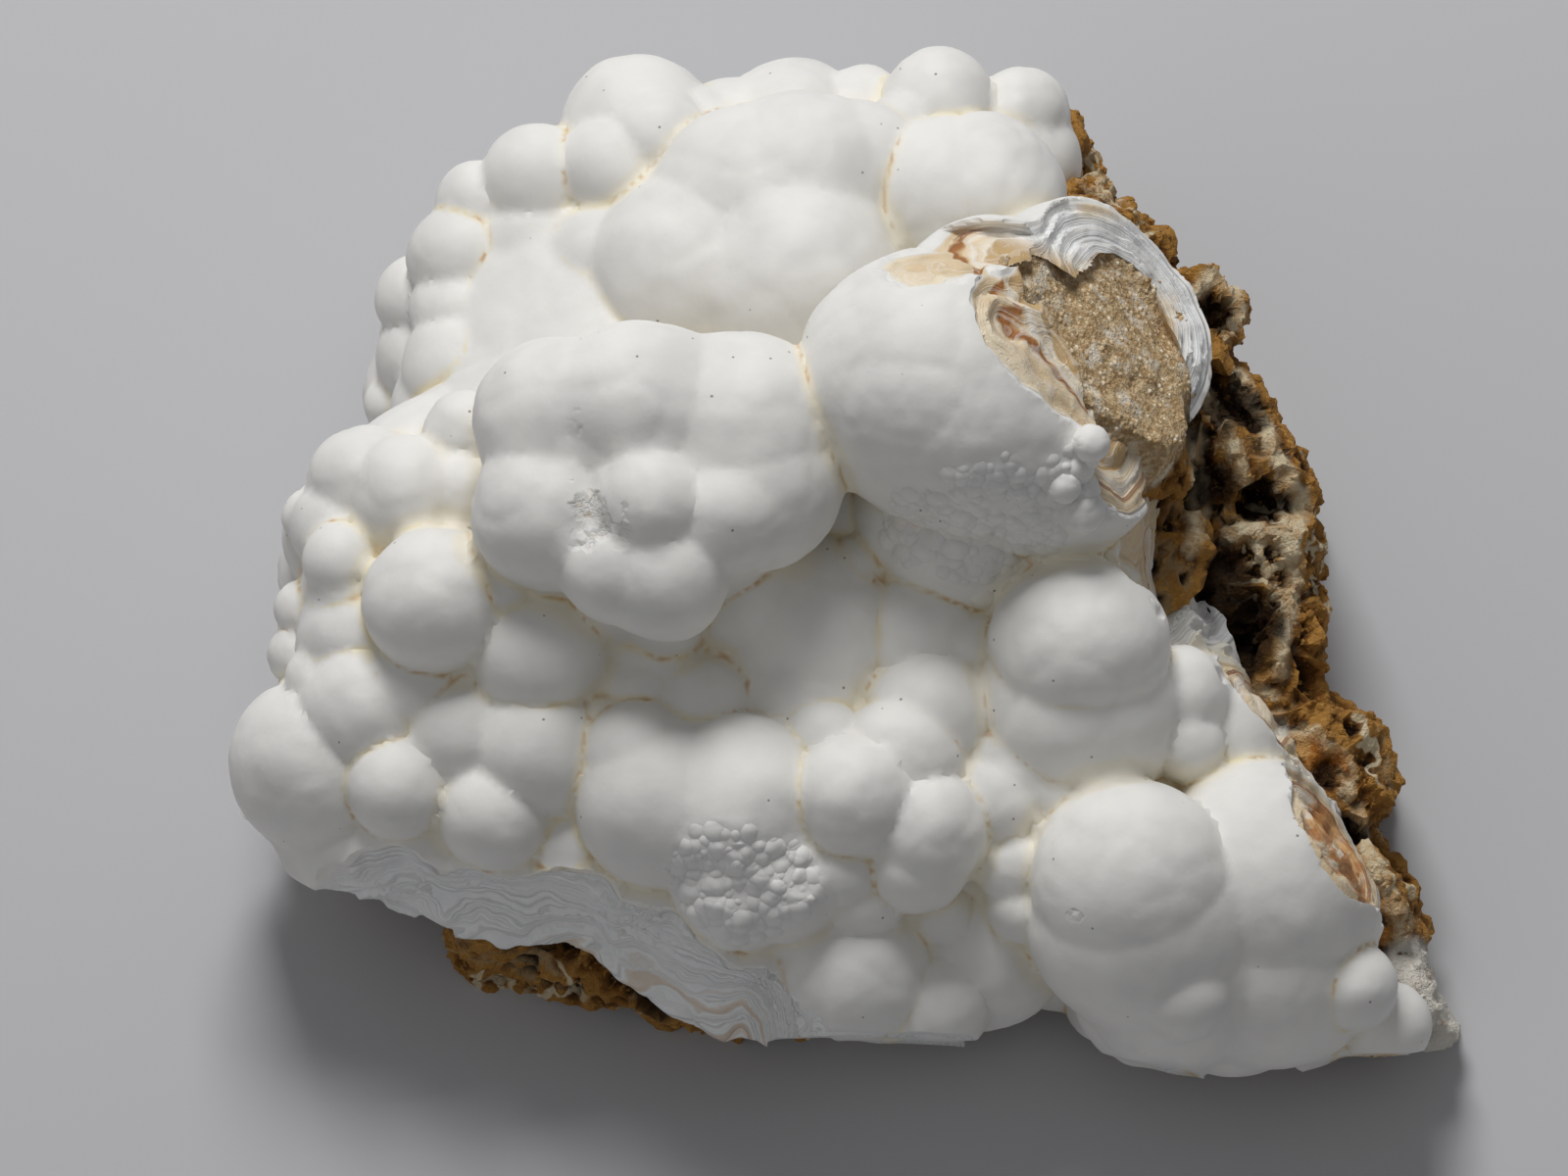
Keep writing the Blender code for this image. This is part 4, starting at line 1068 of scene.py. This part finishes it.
def limoniteMaterial():
    # earthy porous limonite, broken, with white veins; sandy where the core of the nodule is
    # its low points and cut holes get a near-black painted shade, its raised points partly a painted
    # highlight
    look = rockLook
    material, add, part = startMaterial("limoniteBroken", look)
    bent = add("ShaderNodeMath", {0: part["veinBends"], 1: 0.5}, operation="SUBTRACT")[0]
    bent = add("ShaderNodeMath", {0: bent}, operation="ABSOLUTE")[0]
    veins = add("ShaderNodeMapRange", {0: bent, 1: 0.028, 2: 0.012},
                interpolation_type="SMOOTHSTEP")[0]
    pale = add("ShaderNodeMath", {0: part["pale"], 1: part["paleBits"]}, operation="MULTIPLY")[0]
    pale = add("ShaderNodeMath", {0: pale, 1: part["paleRaised"]}, operation="MULTIPLY")[0]
    pale = add("ShaderNodeMath", {0: pale, 1: part["vein"]}, operation="MAXIMUM")[0]
    glassy = add("ShaderNodeMath", {0: part["glassy"], 1: part["glassBits"]},
                 operation="MULTIPLY")[0]
    colour = coated(add, look["brown"], [
        (look["ochre"], part["ochrePatches"]), (look["tan"], part["tanPatches"], 0.75),
        # ochre on raised points is partly a painted highlight; near-black on low points is painted
        # shade
        (look["ridge"], part["ridges"]), (look["paintedShadeDark"], part["lows"], 0.92),
        (look["speckle"], part["speckles"], 0.45), (look["vein"], veins, part["veinPatches"], 0.9),
        (coated(add, look["vein"], [(look["pink"], part["paleTint"])]), pale, 0.92),
        (coated(add, look["glass"], [(look["glassPale"], part["glassTint"])]), glassy, 0.9),
        (look["chalk"], part["chalk"], part["chalkBits"], 0.95),
        # near-black painted shade inside the cut holes
        (look["paintedShadeDark"], part["cave"], 0.9)])

    shade = add("ShaderNodeMapRange", {0: part["grains"], 1: 0.42, 2: 0.60},
                interpolation_type="SMOOTHSTEP")[0]
    sand = coated(add, look["sandDark"], [(look["sand"], shade),
                                          (look["sandPale"], part["paleSand"])])
    rough = add("ShaderNodeMapRange", {0: glassy, 3: look["rough"], 4: look["glassRough"]})[0]
    height = add("ShaderNodeMath", {0: part["grains"], 1: 0.5, 2: part["spongy"]},
                 operation="MULTIPLY_ADD")[0]
    normal = add("ShaderNodeBump", {"Height": height, "Strength": 1.0, "Distance": 1.0 * mm})[0]
    fillNode(material.node_tree, material.node_tree.nodes["Principled BSDF"], {
        "Base Color": coated(add, colour, [(sand, part["inCore"])]), "Roughness": rough,
        "IOR": 1.5, "Specular IOR Level": 0.2, "Normal": normal})
    return material


sandLook = {"attributes": (), "masks": {}, "rough": 0.85, "ior": 1.54,       # quartz grains
            "noises": {"tan": (1.6, 2.0, 0.5, 0.42, 0.60), "pale": (0.8, 1.0, 0.5, 0.58, 0.66)}}


def sandMaterial():
    # loose sandy grains of the nodule's core
    material, add, part = startMaterial("sandyCoreGrains", sandLook)
    colour = coated(add, rockLook["sandDark"], [(rockLook["sand"], part["tan"]),
                                                (rockLook["sandPale"], part["pale"])])
    fillNode(material.node_tree, material.node_tree.nodes["Principled BSDF"], {
        "Base Color": colour, "Roughness": sandLook["rough"], "IOR": sandLook["ior"]})
    return material


def plainMaterial(name, code, rough):
    # one even colour, without gloss
    material, add, part = startMaterial(name, {"attributes": (), "masks": {}, "noises": {}})
    fillNode(material.node_tree, material.node_tree.nodes["Principled BSDF"],
             {"Base Color": code, "Roughness": rough})
    return material


def finishPiece(obj, material, node, sharp=40):
    obj.data.materials.clear()
    obj.data.materials.append(material)
    obj.data.shade_smooth()
    obj.data.set_sharp_from_angle(angle=math.radians(sharp))
    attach(obj, "root")
    if node:
        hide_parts(node)
    print(obj.name, len(obj.data.polygons), "faces")
    return obj


def scatterTree():
    # small balls on the parts of a surface that an attribute names, sunk a little way into it
    tree = bpy.data.node_groups.new("scatteredGrains", "GeometryNodeTree")
    face = tree.interface
    face.new_socket("Geometry", in_out="INPUT", socket_type="NodeSocketGeometry")
    for name, kind in (("Where", "NodeSocketString"), ("Spacing", "NodeSocketFloat"),
                       ("Smallest", "NodeSocketFloat"), ("Largest", "NodeSocketFloat"),
                       ("Sink", "NodeSocketFloat"), ("Flatness", "NodeSocketFloat"),
                       ("Roundness", "NodeSocketInt"), ("Seed", "NodeSocketInt"),
                       ("Material", "NodeSocketMaterial")):
        face.new_socket(name, in_out="INPUT", socket_type=kind)
    face.new_socket("Geometry", in_out="OUTPUT", socket_type="NodeSocketGeometry")

    add = partial(addNode, tree)
    given = add("NodeGroupInput", {})
    named = add("GeometryNodeInputNamedAttribute", {"Name": given["Where"]}, data_type="FLOAT")
    chosen = add("FunctionNodeCompare", {0: named["Attribute"], 1: 0.5},
                 data_type="FLOAT", operation="GREATER_THAN")
    spots = add("GeometryNodeDistributePointsOnFaces",
                {"Mesh": given["Geometry"], "Selection": chosen[0],
                 "Distance Min": given["Spacing"], "Density Max": 3.0e6,
                 "Seed": given["Seed"]}, distribute_method="POISSON")
    size = add("FunctionNodeRandomValue", {2: given["Smallest"], 3: given["Largest"],
                                           "Seed": given["Seed"]}, data_type="FLOAT")
    flat = add("ShaderNodeMath", {0: size[1], 1: given["Flatness"]}, operation="MULTIPLY")
    scale = add("ShaderNodeCombineXYZ", {0: size[1], 1: size[1], 2: flat[0]})
    down = add("ShaderNodeMath", {0: size[1], 1: given["Sink"]}, operation="MULTIPLY")
    below = add("ShaderNodeVectorMath", {0: spots["Normal"], "Scale": down[0]},
                operation="SCALE")
    moved = add("GeometryNodeSetPosition", {"Geometry": spots["Points"],
                                            "Offset": below[0]})
    ball = add("GeometryNodeMeshIcoSphere", {"Radius": 1.0, "Subdivisions": given["Roundness"]})
    copies = add("GeometryNodeInstanceOnPoints",
                 {"Points": moved["Geometry"], "Instance": ball["Mesh"],
                  "Rotation": spots["Rotation"], "Scale": scale[0]})
    real = add("GeometryNodeRealizeInstances", {"Geometry": copies["Instances"]})
    painted = add("GeometryNodeSetMaterial", {"Geometry": real["Geometry"],
                                              "Material": given["Material"]})
    add("NodeGroupOutput", {"Geometry": painted["Geometry"]})
    return tree


grainTree = scatterTree()


def scattered(name, host, material, slot, **values):
    # runs the scatter tree over a copy of the host and keeps what it makes
    obj = addObject(name, host.data.copy())
    step = obj.modifiers.new("grains", "NODES")
    step.node_group = grainTree
    ids = {item.name: item.identifier for item in grainTree.interface.items_tree
           if item.in_out == "INPUT"}
    for key, value in values.items():
        step[ids[key]] = value
    step[ids["Material"]] = material
    graph = bpy.context.evaluated_depsgraph_get()
    mesh = bpy.data.meshes.new_from_object(obj.evaluated_get(graph))
    obj.modifiers.clear()
    obj.data = mesh
    jitter = layered(pointsOf(mesh), [(0.9, 0.10)], 77)
    setPoints(mesh, pointsOf(mesh) + normalsOf(mesh) * jitter[:, None])
    return finishPiece(obj, material, None, 25)


# abraded spots on the skin: across, up, radius, strength
wornPatches = [(-21.5, 15.5, 5.0, 0.55), (-18.6, 6.5, 5.5, 1.0), (-20.5, 9.5, 4.0, 0.8),
               (-25.0, -3.5, 2.2, 0.9), (29.2, -33.0, 1.6, 0.9), (16.5, 28.0, 1.4, 0.5)]

# pale crusts and veins on the limonite: across, up, radius
palePatches = [(49.5, 4.0, 3.0), (52.3, 8.0, 2.2), (51.5, -1.0, 2.0), (48.3, -12.5, 3.0),
               (34.5, 43.0, 4.0), (62.0, -34.0, 2.6), (46.5, 27.5, 2.0), (44.5, 13.5, 1.8)]

# white chalky ends of it: across, up, radius
chalkPatches = [(66.5, -44.0, 5.5), (64.0, -38.5, 3.0), (50.0, -15.0, 1.8)]

# thin pale veins that stand out of it, as lines of across, up
veinLines = [
    [(41.8, 25.5), (42.5, 30.0), (44.2, 32.6), (46.4, 31.0), (47.2, 28.5), (45.6, 26.2)],
    [(47.0, 22.0), (49.0, 18.0), (51.0, 13.0), (53.0, 10.0), (53.2, 6.5), (51.8, 4.0)],
    [(45.6, 5.2), (49.0, 6.2), (52.2, 4.0), (52.8, 0.0), (51.0, -4.5), (50.6, -9.0)],
    [(41.6, 20.0), (42.4, 15.0), (42.6, 10.0), (42.0, 4.0)], [(43.4, 20.0), (46.0, 16.0), (47.2, 11.0)],
    [(50.5, -15.6), (54.0, -15.0), (57.0, -17.0), (57.8, -21.0)],
    [(58.6, -23.0), (59.6, -27.0), (61.6, -32.0), (63.4, -36.0)]]

# glassy peach-brown patches beside the crust's edge: across, up, radius
glassyPatches = [(53.4, -17.2, 2.6), (56.0, -18.4, 2.2), (55.0, -24.0, 2.8), (57.0, -28.0, 2.8),
                 (59.3, -32.0, 2.6), (61.0, -35.0, 1.8)]

# where the skin is covered with little knobs: across, up, radius
cobbledPatches = [(21.0, 6.0, 8.0), (30.0, 10.0, 5.0), (13.5, 6.0, 4.5), (-6.5, -29.0, 6.0),
                  (-0.5, -29.5, 5.0), (-4.0, -33.0, 3.6)]

pieces = []
crustObj = makeCrust()
paintCrust(crustObj)
crustObj.name = "hydrozinciteSkin"
pieces.append(finishPiece(crustObj, hydrozinciteMaterial(), "hydrozincite_crust"))

rockObj = makeRock()
paintRock(rockObj)
pieces.append(finishPiece(rockObj, limoniteMaterial(), "limonite_matrix"))

pieces.append(scattered("skinKnobs", crustObj, crustObj.data.materials[0], "hydrozincite",
                        Where="cobbled", Spacing=1.05 * mm, Smallest=0.7 * mm,
                        Largest=2.6 * mm, Sink=-0.88, Flatness=1.0, Roundness=3, Seed=4))
pieces.append(scattered("coreSand", rockObj, sandMaterial(), "limonite",
                        Where="coreFace", Spacing=0.55 * mm, Smallest=0.12 * mm,
                        Largest=0.38 * mm, Sink=-0.3, Flatness=0.8, Roundness=1, Seed=9))
pieces.append(scattered("limoniteCrumbs", rockObj, rockObj.data.materials[0], "limonite",
                        Where="bareRock", Spacing=1.2 * mm, Smallest=0.2 * mm,
                        Largest=0.65 * mm, Sink=-0.2, Flatness=0.7, Roundness=1, Seed=12))

# floor, light and camera
floorMesh = bpy.data.meshes.new("floor")
floorMesh.from_pydata([(-3, -3, 0), (3, -3, 0), (3, 3, 0), (-3, 3, 0)], [], [(0, 1, 2, 3)])
floorObj = addObject("floor", floorMesh)
floorObj.data.materials.append(plainMaterial("matteGreyPaper", "#C2C2C4", 0.9))


def areaLight(name, way, distance, size, power):
    light = bpy.data.lights.new(name, "AREA")
    light.energy = power
    light.size = size
    obj = bpy.data.objects.new(name, light)
    bpy.context.scene.collection.objects.link(obj)
    aim = Vector(turned(way))
    obj.location = Vector((0, 0, 0.03)) + aim * distance
    obj.rotation_euler = aim.to_track_quat("Z", "Y").to_euler()


areaLight("keyLight", (-0.12, 0.84, 0.46), 0.75, 0.30, 4.2)
areaLight("fillLight", (-0.5, -0.2, 0.85), 0.9, 0.8, 0.5)
world = bpy.data.worlds.new("paleRoom")
world.use_nodes = True
world.node_tree.nodes["Background"].inputs["Color"].default_value = linear("#E6E8EC")
world.node_tree.nodes["Background"].inputs["Strength"].default_value = 0.22
bpy.context.scene.world = world
bpy.context.scene.view_settings.view_transform = "Standard"

cameraData = bpy.data.cameras.new("camera")
cameraData.lens = 300
cameraData.sensor_width = 36
cameraData.clip_start = 0.05
cameraObj = bpy.data.objects.new("camera", cameraData)
bpy.context.scene.collection.objects.link(cameraObj)
axes = [turned(way) for way in ((1, 0, 0), (0, 1, 0), (0, 0, 1))]
cameraObj.matrix_world = (Matrix.Translation(Vector(place((0, 0, plane["viewDistance"]))) * mm)
                          @ Matrix(axes).transposed().to_4x4())
bpy.context.scene.camera = cameraObj

low, high = np.full(3, 1e9), np.full(3, -1e9)
for obj in pieces:
    spots = pointsOf(obj.data) * mm
    low, high = np.minimum(low, spots.min(0)), np.maximum(high, spots.max(0))
print("sizes in mm:", (high - low).round(4) * 1000)
